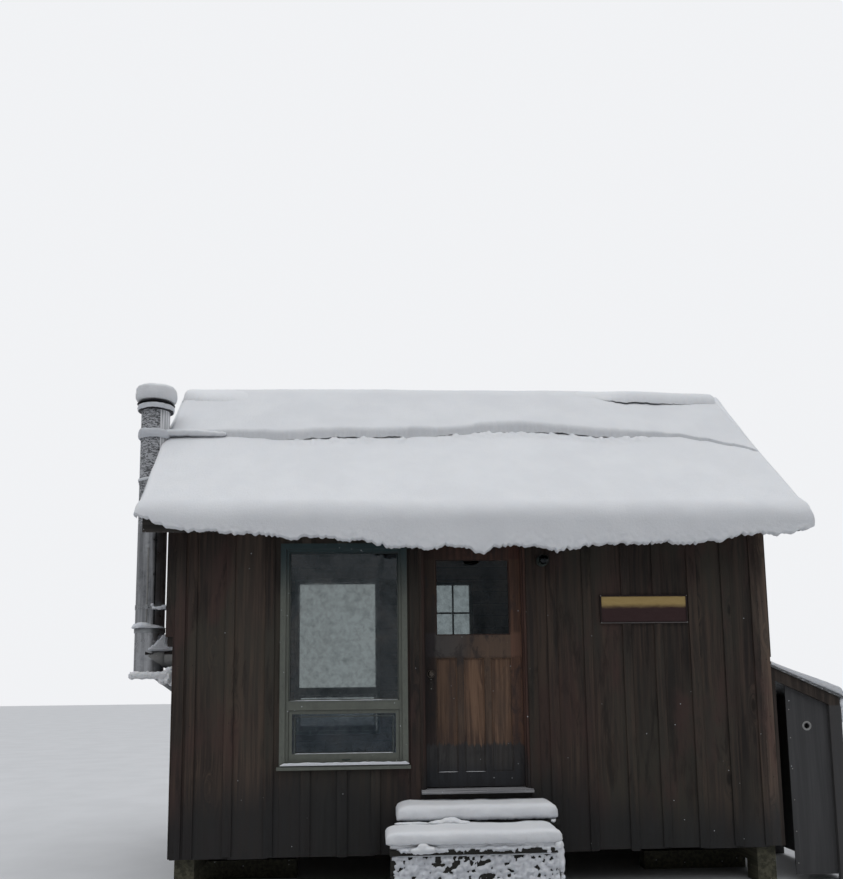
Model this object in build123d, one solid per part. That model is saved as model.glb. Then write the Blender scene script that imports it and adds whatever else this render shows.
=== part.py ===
from build123d import *
import math
import os

os.makedirs("parts", exist_ok=True)

# All sizes are in millimetres. +X is the cabin's right, +Y its back, +Z up.
# The origin is on the ground, at the centre of the cabin's footprint.

# Shell
cabin_length = 4877.0
cabin_depth = 3048.0
siding_thickness = 25.0
stud_depth = 89.0
lining_thickness = 12.0
lintel_height = 178.0
skirt_drop = 461.0

# Floor and supports
timber = 152.0
skid_height = 254.0
skid_inset = 250.0
skid_end_inset = 60.0
joist_height = 184.0
joist_width = 38.0
joist_count = 13
deck_thickness = 19.0
crib_columns = 3
crib_end_gap = 4.0
crib_front_gap = 20.0
crib_top_length = 760.0
crib_block_length = 210.0
crib_sill_length = 900.0

# Roof
roof_pitch = 40.8
eave_overhang = 225.0
gable_overhang = 226.5
rafter_depth = 89.0
rafter_width = 38.0
rafter_count = 8
sheathing = 18.0
ridge_board_width = 38.0
ridge_board_height = 140.0
fascia_height = 140.0
fascia_thickness = 25.0
rake_depth = 100.0
rake_thickness = 25.0
blocking_thickness = 38.0

# Snow on the roof
snow_depth = 95.0
snow_upper_depth = 70.0
snow_upper_reach = 890.0
snow_ridge_radius = 370.0
snow_ridge_cover = 40.0
snow_lip_reach = 100.0
snow_lip_top_radius = 250.0
snow_lip_drop = 174.0
snow_lip_width = 85.0
snow_lip_end_rise = 215.0
snow_gable_reach = 30.0
snow_flue_gap = 8.0
snow_edge_round = 45.0

# Windows
window_width = 1028.0
window_sill_rise = 199.0
window_head_drop = 256.0
window_center_x = -1085.0
casing_width = 45.0
casing_thickness = 18.0
frame_cover = 30.0
frame_depth = 90.0
frame_visible = 69.0
transom_bottom = 467.0
transom_height = 74.0
sash_stile = 28.0
sash_bottom_rail = 54.0
sash_gap = 2.0
sash_depth = 45.0
sash_setback = 12.0
pane_thickness = 22.0
pane_setback = 26.0
sill_nose = 38.0
sill_height = 26.0
back_window_center_x = -1252.0
back_window_lift = 69.0
small_window_width = 502.0
small_window_height = 768.0
small_window_head_drop = 228.0
small_window_centers = [85.0, 933.0]
small_frame_visible = 60.0

# Door
door_width = 813.0
door_height = 2032.0
door_thickness = 44.0
door_center_x = -20.5
door_bottom_gap = 10.0
hinge_gap = 6.0
latch_gap = 7.0
head_gap = 6.0
jamb_thickness = 19.0
stop_depth = 40.0
stop_thickness = 12.0
stop_gap = 5.0
threshold_height = 27.0
threshold_nose = 62.0
threshold_ear = 16.0
threshold_fall = 8.0
stile_width = 98.0
top_rail = 176.0
lock_rail_bottom = 1035.0
lock_rail_height = 188.0
bottom_rail = 118.0
mullion_width = 55.0
panel_count = 3
panel_recess = 14.0
door_glass_thickness = 20.0
knob_backset = 51.0
knob_height = 908.0
knob_radius = 27.0
knob_projection = 62.0
knob_length = 40.0
knob_neck_radius = 11.0
spindle_radius = 9.0
spindle_clearance = 0.3
spindle_hole_gap = 5.0
rose_radius = 32.0
rose_thickness = 6.0
hinge_length = 89.0
hinge_end_distance = 180.0
hinge_leaf_thickness = 2.2
hinge_leaf_width = 35.0
knuckle_radius = 6.5
pin_radius = 3.0
pin_clearance = 0.3
knuckle_gap = 0.5
pin_offset = 8.0

# Flue on the left gable
flue_x = -2800.0
flue_depth = 650.0
flue_radius = 125.0
flue_rise = 345.0
tee_rise = 992.0
tee_height = 383.0
branch_rise = 112.0
branch_radius = 76.0
branch_stub = 50.0
thimble_size = 330.0
thimble_thickness = 4.0
fit_clearance = 0.3
band_thickness = 4.0
band_height = 40.0
wall_band_rise = 175.0
joint_band_drop = 652.0
brace_foot_y = -735.0
brace_radius = 12.5
brace_run = 445.0
bracket_bar = 30.0
shelf_thickness = 5.0
shelf_gusset_drop = 260.0
cap_ring_radius = 150.0
cap_ring_height = 40.0
cap_gap = 26.0
cap_disc_radius = 165.0
cap_disc_height = 22.0
cap_leg_radius = 6.0
cap_snow_height = 165.0
cap_snow_radius = 182.0

# Steps
step_width = 1219.0
sleeper = 137.5
sleeper_width = 130.0
sleeper_chamfer = 9.0
tread_thickness = 38.0
tread_nose = 22.0
upper_step_run = 325.0
lower_step_run = 350.0
upper_step_center_x = -50.0
lower_step_center_x = -118.0
upper_courses = 4
lower_courses = 3
step_snow_depth = 128.0
step_snow_bulge = 12.0

# Pieces on the front wall
sign_center_x = 1392.0
sign_drop = 813.0
sign_width = 734.0
sign_height = 233.0
sign_thickness = 18.0
sign_frame = 12.0
sign_frame_proud = 6.0
light_x = 552.0
light_drop = 228.0
light_base_radius = 48.0
light_base_thickness = 24.0
light_jar_radius = 38.0
light_jar_length = 88.0
corner_board_width = 75.0
corner_board_depth = 100.0
corner_board_height = 835.0
corner_board_drop = 173.0

# Lean-to on the right gable
leanto_width = 570.0
leanto_run = 1219.0
leanto_high = 1738.0
leanto_pitch = 24.6
leanto_sheet = 15.0
leanto_end_overhang = 30.0
leanto_front_overhang = 16.0
leanto_rafter = 89.0
leanto_stud = 38.0
leanto_post = 89.0
leanto_panel = 12.0
leanto_panel_gap = 95.0
leanto_panel_bottom = 60.0
leanto_hole_x = 300.0
leanto_hole_z = 1245.0
leanto_hole_radius = 20.0
leanto_snow_depth = 42.0
post_bottom = 300.0

# Worked out from the sizes above
half_length = cabin_length / 2
half_depth = cabin_depth / 2
wall = siding_thickness + stud_depth + lining_thickness
slope = math.tan(math.radians(roof_pitch))
fall = math.cos(math.radians(roof_pitch))
crib_top = 2 * timber
joist_bottom = crib_top + skid_height
deck_bottom = joist_bottom + joist_height
deck_top = deck_bottom + deck_thickness
siding_bottom = deck_top - skirt_drop
door_bottom = deck_top + threshold_height + door_bottom_gap
door_top = door_bottom + door_height
head_bottom = door_top + head_gap
doorway_top = head_bottom + jamb_thickness
plate_height = doorway_top + lintel_height
eave_face = half_depth + eave_overhang
roof_end = half_length + gable_overhang
inner_length = half_length - wall
inner_depth = half_depth - wall


def block(x, y, z):
    """A box between pairs of limits."""
    size = Box(x[1] - x[0], y[1] - y[0], z[1] - z[0])
    return Pos((x[0] + x[1]) / 2, (y[0] + y[1]) / 2, (z[0] + z[1]) / 2) * size


def along_x(outline, x):
    """An outline of (y, z) points carried from one x to the other."""
    face = make_face(Polyline(*[(x[0], y, z) for y, z in outline], close=True))
    return extrude(face, x[1] - x[0], dir=(1, 0, 0))


def along_y(outline, y):
    """An outline of (x, z) points carried from one y to the other."""
    face = make_face(Polyline(*[(x, y[0], z) for x, z in outline], close=True))
    return extrude(face, y[1] - y[0], dir=(0, 1, 0))


def rod(start, end, radius):
    """A round bar from one point to another."""
    axis = Vector(*end) - Vector(*start)
    return Plane(start, z_dir=axis) * Cylinder(radius, axis.length, align=(Align.CENTER, Align.CENTER, Align.MIN))


def upright(x, y, z, radius):
    """A vertical cylinder between two heights."""
    return rod((x, y, z[0]), (x, y, z[1]), radius)


def mirrored(solid):
    """The same piece on the back of the cabin."""
    return mirror(solid, Plane.XZ)


def save(node, *pieces):
    """Writes a node's solids, kept apart, to its own file."""
    solids = [solid for piece in pieces for solid in piece.solids()]
    export_step(solids[0] if len(solids) == 1 else Compound(children=solids), f"parts/{node}.step")


def rafter_under(y):
    return plate_height + (half_depth - abs(y)) * slope


def sheathing_under(y):
    return rafter_under(y) + rafter_depth / fall


def roof_top(y):
    return sheathing_under(y) + sheathing / fall


def sloped_strip(y, low, high):
    """The (y, z) outline of a strip that follows the front slope between two height lines."""
    return [(y[0], low(y[0])), (y[1], low(y[1])), (y[1], high(y[1])), (y[0], high(y[0]))]


def spaced(low, high, count):
    """Centres of pieces spread evenly from one limit to the other."""
    return [low + (high - low) * i / (count - 1) for i in range(count)]


# Cribs of squared timber, three under each skid
skid_y = half_depth - skid_inset - timber / 2
crib_x_end = half_length - siding_thickness - crib_end_gap - timber / 2


def crib(x, y_out, lean):
    """A timber runs in from the wall line over a short block and a long sill laid crosswise."""
    top = block((x - timber / 2, x + timber / 2), (y_out, y_out + crib_top_length), (timber, crib_top))
    front = block((x - timber / 2, x + timber / 2), (y_out, y_out + crib_block_length), (0, timber))
    sill_y = (y_out + crib_top_length - timber, y_out + crib_top_length)
    if lean > 0:
        sill_x = (x + timber / 2 - crib_sill_length, x + timber / 2)
    elif lean < 0:
        sill_x = (x - timber / 2, x - timber / 2 + crib_sill_length)
    else:
        sill_x = (x - crib_sill_length / 2, x + crib_sill_length / 2)
    return top + front + block(sill_x, sill_y, (0, timber))


def middle_crib(x):
    top = block((x - timber / 2, x + timber / 2), (-crib_top_length / 2, crib_top_length / 2), (timber, crib_top))
    return top + block((x - crib_block_length, x + crib_block_length), (-timber, timber), (0, timber))


crib_columns_x = spaced(-crib_x_end, crib_x_end, crib_columns)
leans = [(x > timber) - (x < -timber) for x in crib_columns_x]
crib_front = -half_depth + siding_thickness + crib_front_gap
outer_cribs = [crib(x, crib_front, lean) for x, lean in zip(crib_columns_x, leans)]
save("cribs", *outer_cribs, *[mirrored(c) for c in outer_cribs], *[middle_crib(x) for x in crib_columns_x])

# Skids, joists and deck
skid_x = (-half_length + skid_end_inset, half_length - skid_end_inset)
skids = [block(skid_x, (y - timber / 2, y + timber / 2), (crib_top, joist_bottom)) for y in (-skid_y, 0, skid_y)]
save("skids", *skids)

deck_x = half_length - siding_thickness
deck_y = half_depth - siding_thickness
rim_x = deck_x - joist_width
joist_frame = block((-deck_x, deck_x), (-deck_y, deck_y), (joist_bottom, deck_bottom))
bay_edges = spaced(-rim_x, rim_x + joist_width, joist_count)
for left, right in zip(bay_edges[:-1], bay_edges[1:]):
    joist_frame -= block(
        (left, right - joist_width), (-deck_y + joist_width, deck_y - joist_width), (joist_bottom, deck_bottom)
    )
save("floor_joists", joist_frame)
save("floor_deck", block((-deck_x, deck_x), (-deck_y, deck_y), (deck_bottom, deck_top)))

# Door opening and frame sizes
leaf_x = (door_center_x - door_width / 2, door_center_x + door_width / 2)
jamb_inner = (leaf_x[0] - latch_gap, leaf_x[1] + hinge_gap)
doorway = (jamb_inner[0] - jamb_thickness, jamb_inner[1] + jamb_thickness)
front_y = -half_depth
leaf_y = (front_y + wall - door_thickness, front_y + wall)


def eave_wall(x):
    """A stretch of the front wall: studs stand on the deck and the boards run on down as a skirt."""
    outline = [
        (front_y, siding_bottom),
        (front_y, rafter_under(front_y)),
        (front_y + wall, rafter_under(front_y + wall)),
        (front_y + wall, deck_top),
        (front_y + siding_thickness, deck_top),
        (front_y + siding_thickness, siding_bottom),
    ]
    return along_x(outline, x)


def window_hole(x, z):
    """The hole that a window frame fills."""
    return block(
        (x[0] + frame_cover, x[1] - frame_cover), (front_y, front_y + wall), (z[0] + frame_cover, z[1] - frame_cover)
    )


window_x = (window_center_x - window_width / 2, window_center_x + window_width / 2)
window_z = (deck_top + window_sill_rise, plate_height - window_head_drop)
back_window_x = (back_window_center_x - window_width / 2, back_window_center_x + window_width / 2)
back_window_z = (window_z[0] + back_window_lift, window_z[1] + back_window_lift)
small_window_x = [(x - small_window_width / 2, x + small_window_width / 2) for x in small_window_centers]
small_window_top = plate_height - small_window_head_drop
small_window_z = (small_window_top - small_window_height, small_window_top)

front_wall_left = eave_wall((-half_length, doorway[0])) - window_hole(window_x, window_z)
front_wall_right = eave_wall((doorway[1], half_length))
over_door = block(doorway, (front_y, front_y + wall), (doorway_top, roof_top(0)))
front_wall_over_door = eave_wall(doorway) & over_door
door_skirt = block(doorway, (front_y, front_y + siding_thickness), (siding_bottom, deck_top))
back_wall = eave_wall((-half_length, half_length)) - window_hole(back_window_x, back_window_z)
for x in small_window_x:
    back_wall -= window_hole(x, small_window_z)
back_wall = mirrored(back_wall)
save("front_wall_left", front_wall_left)
save("front_wall_right", front_wall_right)
save("front_wall_over_door", front_wall_over_door)
save("door_skirt", door_skirt)
save("back_wall", back_wall)

# Gable walls, let in behind the eave walls
flue_y = front_y + flue_depth
tee_bottom = deck_top + tee_rise
tee_top = tee_bottom + tee_height
branch_height = tee_bottom + branch_rise
flue_top = roof_top(flue_y) + flue_rise
brace_band_height = roof_top(brace_foot_y)
joint_band_height = flue_top - joint_band_drop
wall_band_height = tee_top + wall_band_rise
thimble_hole = rod((-half_length - 1, flue_y, branch_height), (-inner_length + 1, flue_y, branch_height),
                   branch_radius + fit_clearance)


def gable_wall(x_outer, x_inner, x_skirt):
    outline = [
        (-half_depth, deck_top),
        (-half_depth, sheathing_under(half_depth)),
        (0, sheathing_under(0)),
        (half_depth, sheathing_under(half_depth)),
        (half_depth, deck_top),
    ]
    low, high = sorted((x_outer, x_inner))
    panel = along_x(outline, (low, high))
    whole_eave = eave_wall((low, high))
    panel = panel - whole_eave - mirrored(whole_eave)
    skirt = block(sorted((x_outer, x_skirt)), (-deck_y, deck_y), (siding_bottom, deck_top))
    return panel + skirt


save("left_wall", gable_wall(-half_length, -inner_length, -deck_x) - thimble_hole)
save("right_wall", gable_wall(half_length, inner_length, deck_x))

# Roof frame and sheathing
ridge_half = ridge_board_width / 2
rafter_line = (-(eave_face - fascia_thickness), -ridge_half)
rafter_x = spaced(-inner_length + rafter_width / 2, inner_length - rafter_width / 2, rafter_count)
rafters = [
    along_x(sloped_strip(rafter_line, rafter_under, sheathing_under), (x - rafter_width / 2, x + rafter_width / 2))
    for x in rafter_x
]
save("rafters", *rafters, *[mirrored(r) for r in rafters])
ridge_top = sheathing_under(ridge_half)
save("ridge_board", block((-inner_length, inner_length), (-ridge_half, ridge_half),
                          (ridge_top - ridge_board_height, ridge_top)))

blocking = []
for left, right in zip(rafter_x[:-1], rafter_x[1:]):
    strip = sloped_strip((front_y, front_y + blocking_thickness), rafter_under, sheathing_under)
    blocking.append(along_x(strip, (left + rafter_width / 2, right - rafter_width / 2)))
save("eave_blocking", *blocking, *[mirrored(b) for b in blocking])

sheathing_front = along_x(sloped_strip((-eave_face, 0), sheathing_under, roof_top), (-roof_end, roof_end))
save("roof_sheathing_front", sheathing_front)
save("roof_sheathing_back", mirrored(sheathing_front))

fascia_line = (-eave_face, -(eave_face - fascia_thickness))
fascia_bottom = roof_top(eave_face) - fascia_height
fascia = along_x(sloped_strip(fascia_line, lambda y: fascia_bottom, sheathing_under), (-roof_end, roof_end))
save("fascia_boards", fascia, mirrored(fascia))

rake_strip = sloped_strip((fascia_line[1], 0), lambda y: sheathing_under(y) - rake_depth / fall, sheathing_under)
rakes = [along_x(rake_strip, (-roof_end, -roof_end + rake_thickness)),
         along_x(rake_strip, (roof_end - rake_thickness, roof_end))]
save("rake_boards_front", *rakes)
save("rake_boards_back", *[mirrored(r) for r in rakes])


# Snow on the roof: a lower sheet on each slope that hangs over the eave, and a sheet over the ridge
def snow_top(y):
    return roof_top(y) + snow_depth / fall


def upper_snow_top(y):
    return roof_top(y) + (snow_depth + snow_upper_depth) / fall


def section_along_x(outline, x, rounds):
    """A (y, z) outline with some corners rounded, carried along x. rounds gives (corner number, radius)."""
    points = [(x[0], y, z) for y, z in outline]
    radii = [0.0] * len(points)
    for corner, radius in rounds:
        radii[corner] = radius
    face = make_face(FilletPolyline(*points, radius=radii, close=True))
    return extrude(face, x[1] - x[0], dir=(1, 0, 0))


snow_x = (-roof_end - snow_gable_reach, roof_end + snow_gable_reach)
snow_nose = -(eave_face + snow_lip_reach)
snow_lip_bottom = fascia_bottom - snow_lip_drop
ridge_flat = roof_top(0) + snow_ridge_cover
ridge_flat_y = (ridge_flat - snow_top(0)) / slope
snow_toe_round = 0.42 * snow_lip_width
snow_lower = section_along_x(
    [
        (ridge_flat_y, ridge_flat), (snow_nose, snow_top(snow_nose)), (snow_nose, snow_lip_bottom),
        (snow_nose + snow_lip_width, snow_lip_bottom), (-eave_face, fascia_bottom),
        (-eave_face, roof_top(eave_face)), (0, roof_top(0)), (0, ridge_flat),
    ],
    snow_x, [(1, snow_lip_top_radius), (2, snow_toe_round), (3, snow_toe_round)],
)
lip_arch_radius = (roof_end ** 2 + snow_lip_end_rise ** 2) / (2 * snow_lip_end_rise)
lip_space = (snow_nose - snow_lip_reach, -eave_face)
lip_arch = block((-lip_arch_radius / 2, lip_arch_radius / 2), lip_space,
                 (snow_lip_bottom - snow_lip_reach, snow_lip_bottom + 2 * snow_lip_end_rise))
arch_height = snow_lip_bottom + lip_arch_radius
lip_arch -= rod((0, lip_space[0] - 1, arch_height), (0, lip_space[1] + 1, arch_height), lip_arch_radius)
snow_lower -= lip_arch
flue_notch = upright(flue_x, flue_y, (fascia_bottom, flue_top), flue_radius + snow_flue_gap)
brace_start = (flue_x, flue_y, brace_band_height)
brace_end = (flue_x + flue_radius + brace_run, brace_foot_y, brace_band_height)
brace_tunnel = rod(brace_start, brace_end, brace_radius + fit_clearance)
brace_tunnel += Pos(*brace_end) * Sphere(brace_radius + fit_clearance)
snow_front = snow_lower - flue_notch - brace_tunnel
save("roof_snow_front", snow_front)
save("roof_snow_back", mirrored(snow_lower))
upper_edge = -snow_upper_reach
upper_outline = [
    (0, upper_snow_top(0)), (upper_edge, upper_snow_top(upper_edge)), (upper_edge, snow_top(upper_edge)),
    (ridge_flat_y, ridge_flat), (-ridge_flat_y, ridge_flat),
    (-upper_edge, snow_top(upper_edge)), (-upper_edge, upper_snow_top(upper_edge)),
]
snow_upper = section_along_x(
    upper_outline, snow_x, [(0, snow_ridge_radius), (1, snow_edge_round), (6, snow_edge_round)]
)
save("roof_snow_upper", snow_upper - flue_notch - brace_tunnel)


# Windows. They are drawn on the front wall and mirrored for the back.
def ring(x, z, width, y):
    """A flat frame: a slab with a rectangular opening."""
    hole = block((x[0] + width, x[1] - width), y, (z[0] + width, z[1] - width))
    return block(x, y, z) - hole


def frame_body(x, z, visible):
    """Casing on the boards, and the frame behind it that lines the hole in the wall."""
    casing = ring(x, z, casing_width, (front_y - casing_thickness, front_y))
    liner_x = (x[0] + frame_cover, x[1] - frame_cover)
    liner_z = (z[0] + frame_cover, z[1] - frame_cover)
    liner = ring(liner_x, liner_z, visible - frame_cover, (front_y, front_y + frame_depth))
    nose = block((x[0] - casing_thickness, x[1] + casing_thickness), (front_y - sill_nose, front_y),
                 (z[0], z[0] + sill_height))
    return casing + liner + nose


def big_window(x, z):
    """A fixed pane over a low top-hung sash. Returns the frame, the sash and the two panes."""
    inner_x = (x[0] + frame_visible, x[1] - frame_visible)
    rail = (z[0] + transom_bottom, z[0] + transom_bottom + transom_height)
    frame = frame_body(x, z, frame_visible) + block(inner_x, (front_y, front_y + frame_depth), rail)
    sash_x = (inner_x[0] + sash_gap, inner_x[1] - sash_gap)
    sash_z = (z[0] + frame_visible, rail[0] - sash_gap)
    sash_y = (front_y + sash_setback, front_y + sash_setback + sash_depth)
    glass_x = (sash_x[0] + sash_stile, sash_x[1] - sash_stile)
    glass_z = (sash_z[0] + sash_bottom_rail, sash_z[1] - sash_stile)
    sash = block(sash_x, sash_y, sash_z) - block(glass_x, sash_y, glass_z)
    low_pane_y = (sash_y[0] + sash_setback, sash_y[0] + sash_setback + pane_thickness)
    pane_y = (front_y + pane_setback, front_y + pane_setback + pane_thickness)
    panes = [block(inner_x, pane_y, (rail[1], z[1] - frame_visible)), block(glass_x, low_pane_y, glass_z)]
    return frame, sash, panes


front_frame, front_sash, front_panes = big_window(window_x, window_z)
save("window_frame", front_frame)
save("window_sash", front_sash)
save("window_glass", *front_panes)
back_frame, back_sash, back_panes = big_window(back_window_x, back_window_z)
save("back_window_frame", mirrored(back_frame))
save("back_window_sash", mirrored(back_sash))

small_frames = []
small_panes = []
for x in small_window_x:
    small_frames.append(frame_body(x, small_window_z, small_frame_visible))
    pane_x = (x[0] + small_frame_visible, x[1] - small_frame_visible)
    pane_z = (small_window_z[0] + small_frame_visible, small_window_z[1] - small_frame_visible)
    small_panes.append(block(pane_x, (front_y + pane_setback, front_y + pane_setback + pane_thickness), pane_z))
save("small_window_frames", *[mirrored(f) for f in small_frames])
save("back_window_glass", *[mirrored(p) for p in back_panes + small_panes])

# Door frame, with the stops that the leaf closes against
threshold_top = deck_top + threshold_height
stop_y = (leaf_y[0] - stop_gap - stop_depth, leaf_y[0] - stop_gap)
frame_y = (front_y, front_y + wall)
latch_jamb = block((doorway[0], jamb_inner[0]), frame_y, (threshold_top, head_bottom))
latch_jamb += block((jamb_inner[0], jamb_inner[0] + stop_thickness), stop_y, (threshold_top, head_bottom))
hinge_jamb = block((jamb_inner[1], doorway[1]), frame_y, (threshold_top, head_bottom))
hinge_jamb += block((jamb_inner[1] - stop_thickness, jamb_inner[1]), stop_y, (threshold_top, head_bottom))
save("door_jambs", latch_jamb, hinge_jamb)
head = block(doorway, frame_y, (head_bottom, doorway_top))
head_stop_x = (jamb_inner[0] + stop_thickness, jamb_inner[1] - stop_thickness)
head += block(head_stop_x, stop_y, (head_bottom - stop_thickness, head_bottom))
save("door_head", head)
threshold = block(doorway, (front_y, front_y + wall), (deck_top, threshold_top))
ears = (doorway[0] - threshold_ear, doorway[1] + threshold_ear)
threshold += along_x(
    [(front_y, deck_top), (front_y, threshold_top), (front_y - threshold_nose, threshold_top - threshold_fall),
     (front_y - threshold_nose, deck_top)], ears
)
save("door_threshold", threshold)

# Door leaf: stiles and rails, a glazed upper part and three sunk panels below
panel_x = (leaf_x[0] + stile_width, leaf_x[1] - stile_width)
panel_z = (door_bottom + bottom_rail, door_bottom + lock_rail_bottom)
glass_z = (panel_z[1] + lock_rail_height, door_top - top_rail)
knob_x = leaf_x[0] + knob_backset
knob_z = door_bottom + knob_height
leaf = block(leaf_x, leaf_y, (door_bottom, door_top)) - block(panel_x, leaf_y, glass_z)
panel_width = (panel_x[1] - panel_x[0] - (panel_count - 1) * mullion_width) / panel_count
for i in range(panel_count):
    left = panel_x[0] + i * (panel_width + mullion_width)
    for y in ((leaf_y[0], leaf_y[0] + panel_recess), (leaf_y[1] - panel_recess, leaf_y[1])):
        leaf -= block((left, left + panel_width), y, panel_z)
leaf -= rod((knob_x, leaf_y[0] - 1, knob_z), (knob_x, leaf_y[1] + 1, knob_z), spindle_radius + spindle_hole_gap)
save("door_leaf", leaf)
glass_middle = (leaf_y[0] + leaf_y[1]) / 2
save("door_glass", block(panel_x, (glass_middle - door_glass_thickness / 2, glass_middle + door_glass_thickness / 2),
                         glass_z))


def rose(face, outward):
    disc = rod((knob_x, face, knob_z), (knob_x, face + outward * rose_thickness, knob_z), rose_radius)
    return disc - rod((knob_x, face - outward, knob_z), (knob_x, face + outward * (rose_thickness + 1), knob_z),
                      spindle_radius + spindle_clearance)


save("knob_roses", rose(leaf_y[0], -1), rose(leaf_y[1], 1))
knob_tip = door_thickness / 2 + knob_projection
knob_back = knob_tip - knob_length
knob_rim = Polyline((knob_neck_radius, knob_back), (0.8 * knob_radius, knob_back + 0.2 * knob_length))
knob_crown = ThreePointArc(
    knob_rim @ 1, (knob_radius, knob_back + 0.55 * knob_length), (0.6 * knob_radius, knob_tip - 0.06 * knob_length)
)
knob_end = Polyline(knob_crown @ 1, (0.5 * knob_radius, knob_tip), (0, knob_tip))
spindle = Polyline((0, knob_tip), (0, -knob_tip), (0.5 * knob_radius, -knob_tip),
                   (0.6 * knob_radius, -knob_tip + 0.06 * knob_length))
inner_crown = ThreePointArc(
    spindle @ 1, (knob_radius, -knob_back - 0.55 * knob_length), (0.8 * knob_radius, -knob_back - 0.2 * knob_length)
)
inner_rim = Polyline(inner_crown @ 1, (knob_neck_radius, -knob_back), (spindle_radius, -knob_back),
                     (spindle_radius, knob_back), (knob_neck_radius, knob_back))
knob_outline = knob_rim + knob_crown + knob_end + spindle + inner_crown + inner_rim
knob = revolve(make_face(knob_outline), Axis.Y)
save("door_knob", Pos(knob_x, glass_middle, knob_z) * knob)

# Butt hinges: the frame half has the end knuckles and the pin, the door half the middle knuckle
pin_x = leaf_x[1] + hinge_gap / 2
pin_y = leaf_y[1] + pin_offset
leaf_plate_y = leaf_y[1] - hinge_leaf_width
knuckle_end = (hinge_length - 2 * knuckle_gap) / 3


def plate(x, z, knuckles):
    """A hinge leaf in the gap beside the door, that reaches out to the barrel only at its own knuckles."""
    piece = block(x, (leaf_plate_y, leaf_y[1]), z)
    for span in knuckles:
        piece += block(x, (leaf_y[1], pin_y), span)
        piece += upright(pin_x, pin_y, span, knuckle_radius)
    return piece


def hinge(z):
    spans = [(z, z + knuckle_end), (z + knuckle_end + knuckle_gap, z + 2 * knuckle_end + knuckle_gap),
             (z + hinge_length - knuckle_end, z + hinge_length)]
    frame_half = plate((jamb_inner[1] - hinge_leaf_thickness, jamb_inner[1]), (z, z + hinge_length),
                       [spans[0], spans[2]])
    frame_half += upright(pin_x, pin_y, (z, z + hinge_length), pin_radius)
    door_half = plate((leaf_x[1], leaf_x[1] + hinge_leaf_thickness), (z, z + hinge_length), [spans[1]])
    door_half -= upright(pin_x, pin_y, (z - 1, z + hinge_length + 1), pin_radius + pin_clearance)
    return frame_half, door_half


hinge_heights = [door_bottom + hinge_end_distance - hinge_length / 2,
                 door_bottom + (door_height - hinge_length) / 2,
                 door_top - hinge_end_distance - hinge_length / 2]
hinges = [hinge(z) for z in hinge_heights]
save("hinge_frame_halves", *[pair[0] for pair in hinges])
save("hinge_door_halves", *[pair[1] for pair in hinges])


# Flue: a tee with a branch through the wall, the insulated pipe, its bands, its supports and the rain cap
def band(height):
    tube = upright(flue_x, flue_y, (height - band_height / 2, height + band_height / 2),
                   flue_radius + fit_clearance + band_thickness)
    return tube - upright(flue_x, flue_y, (height - band_height, height + band_height), flue_radius + fit_clearance)


tee = upright(flue_x, flue_y, (tee_bottom, tee_top), flue_radius)
tee += rod((flue_x, flue_y, branch_height), (-inner_length + branch_stub, flue_y, branch_height), branch_radius)
save("flue_tee", tee)
save("flue_pipe", upright(flue_x, flue_y, (tee_top, flue_top), flue_radius))
save("flue_bands", *[band(z) for z in (wall_band_height, joint_band_height)])
collar_radius = flue_radius + fit_clearance + band_thickness
brace = rod(brace_start, brace_end, brace_radius) - sheathing_front
brace -= upright(flue_x, flue_y, (brace_band_height - band_height, brace_band_height + band_height),
                 flue_radius + fit_clearance)
save("flue_roof_brace", brace + band(brace_band_height))
outer_face = -half_length
arm_x = (flue_x + collar_radius, outer_face)
arm_z = (wall_band_height - band_height / 2, wall_band_height + band_height / 2)
shelf_z = (tee_bottom - shelf_thickness, tee_bottom)
shelf = block((flue_x - flue_radius, outer_face), (flue_y - flue_radius, flue_y + flue_radius), shelf_z)
for y in (flue_y - flue_radius, flue_y + flue_radius - shelf_thickness):
    shelf += along_y(
        [(outer_face, shelf_z[0]), (flue_x, shelf_z[0]), (outer_face, shelf_z[0] - shelf_gusset_drop)],
        (y, y + shelf_thickness)
    )
thimble = block((outer_face - thimble_thickness, outer_face),
                (flue_y - thimble_size / 2, flue_y + thimble_size / 2),
                (shelf_z[1] + fit_clearance, branch_height + thimble_size / 2))
thimble -= rod((outer_face - thimble_size, flue_y, branch_height), (outer_face + thimble_size, flue_y, branch_height),
               branch_radius + fit_clearance)
arm = block(arm_x, (flue_y - bracket_bar / 2, flue_y + bracket_bar / 2), arm_z)
save("flue_wall_supports", shelf, thimble, arm)
ring_z = (flue_top, flue_top + cap_ring_height)
disc_z = (ring_z[1] + cap_gap, ring_z[1] + cap_gap + cap_disc_height)
cap = upright(flue_x, flue_y, ring_z, cap_ring_radius)
cap += Pos(flue_x, flue_y, disc_z[0]) * Cone(
    cap_disc_radius, cap_disc_radius - cap_disc_height, cap_disc_height,
    align=(Align.CENTER, Align.CENTER, Align.MIN)
)
for i in range(4):
    turn = math.radians(45 + 90 * i)
    leg_x = flue_x + (cap_ring_radius - 2 * cap_leg_radius) * math.cos(turn)
    leg_y = flue_y + (cap_ring_radius - 2 * cap_leg_radius) * math.sin(turn)
    cap += upright(leg_x, leg_y, (ring_z[1], disc_z[0]), cap_leg_radius)
save("flue_cap", cap)
cap_snow = upright(flue_x, flue_y, (disc_z[1], disc_z[1] + cap_snow_height), cap_snow_radius)
cap_snow = fillet(cap_snow.edges().sort_by(Axis.Z)[-1], 0.4 * cap_snow_height)
cap_snow = fillet(cap_snow.edges().sort_by(Axis.Z)[0], 0.2 * cap_snow_height)
save("flue_cap_snow", cap_snow)

# Steps: cribs of sleepers with plank treads, and the snow that lies on them
upper_front_y = front_y - upper_step_run
lower_back_y = upper_front_y + tread_nose
lower_front_y = upper_front_y - lower_step_run


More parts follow.
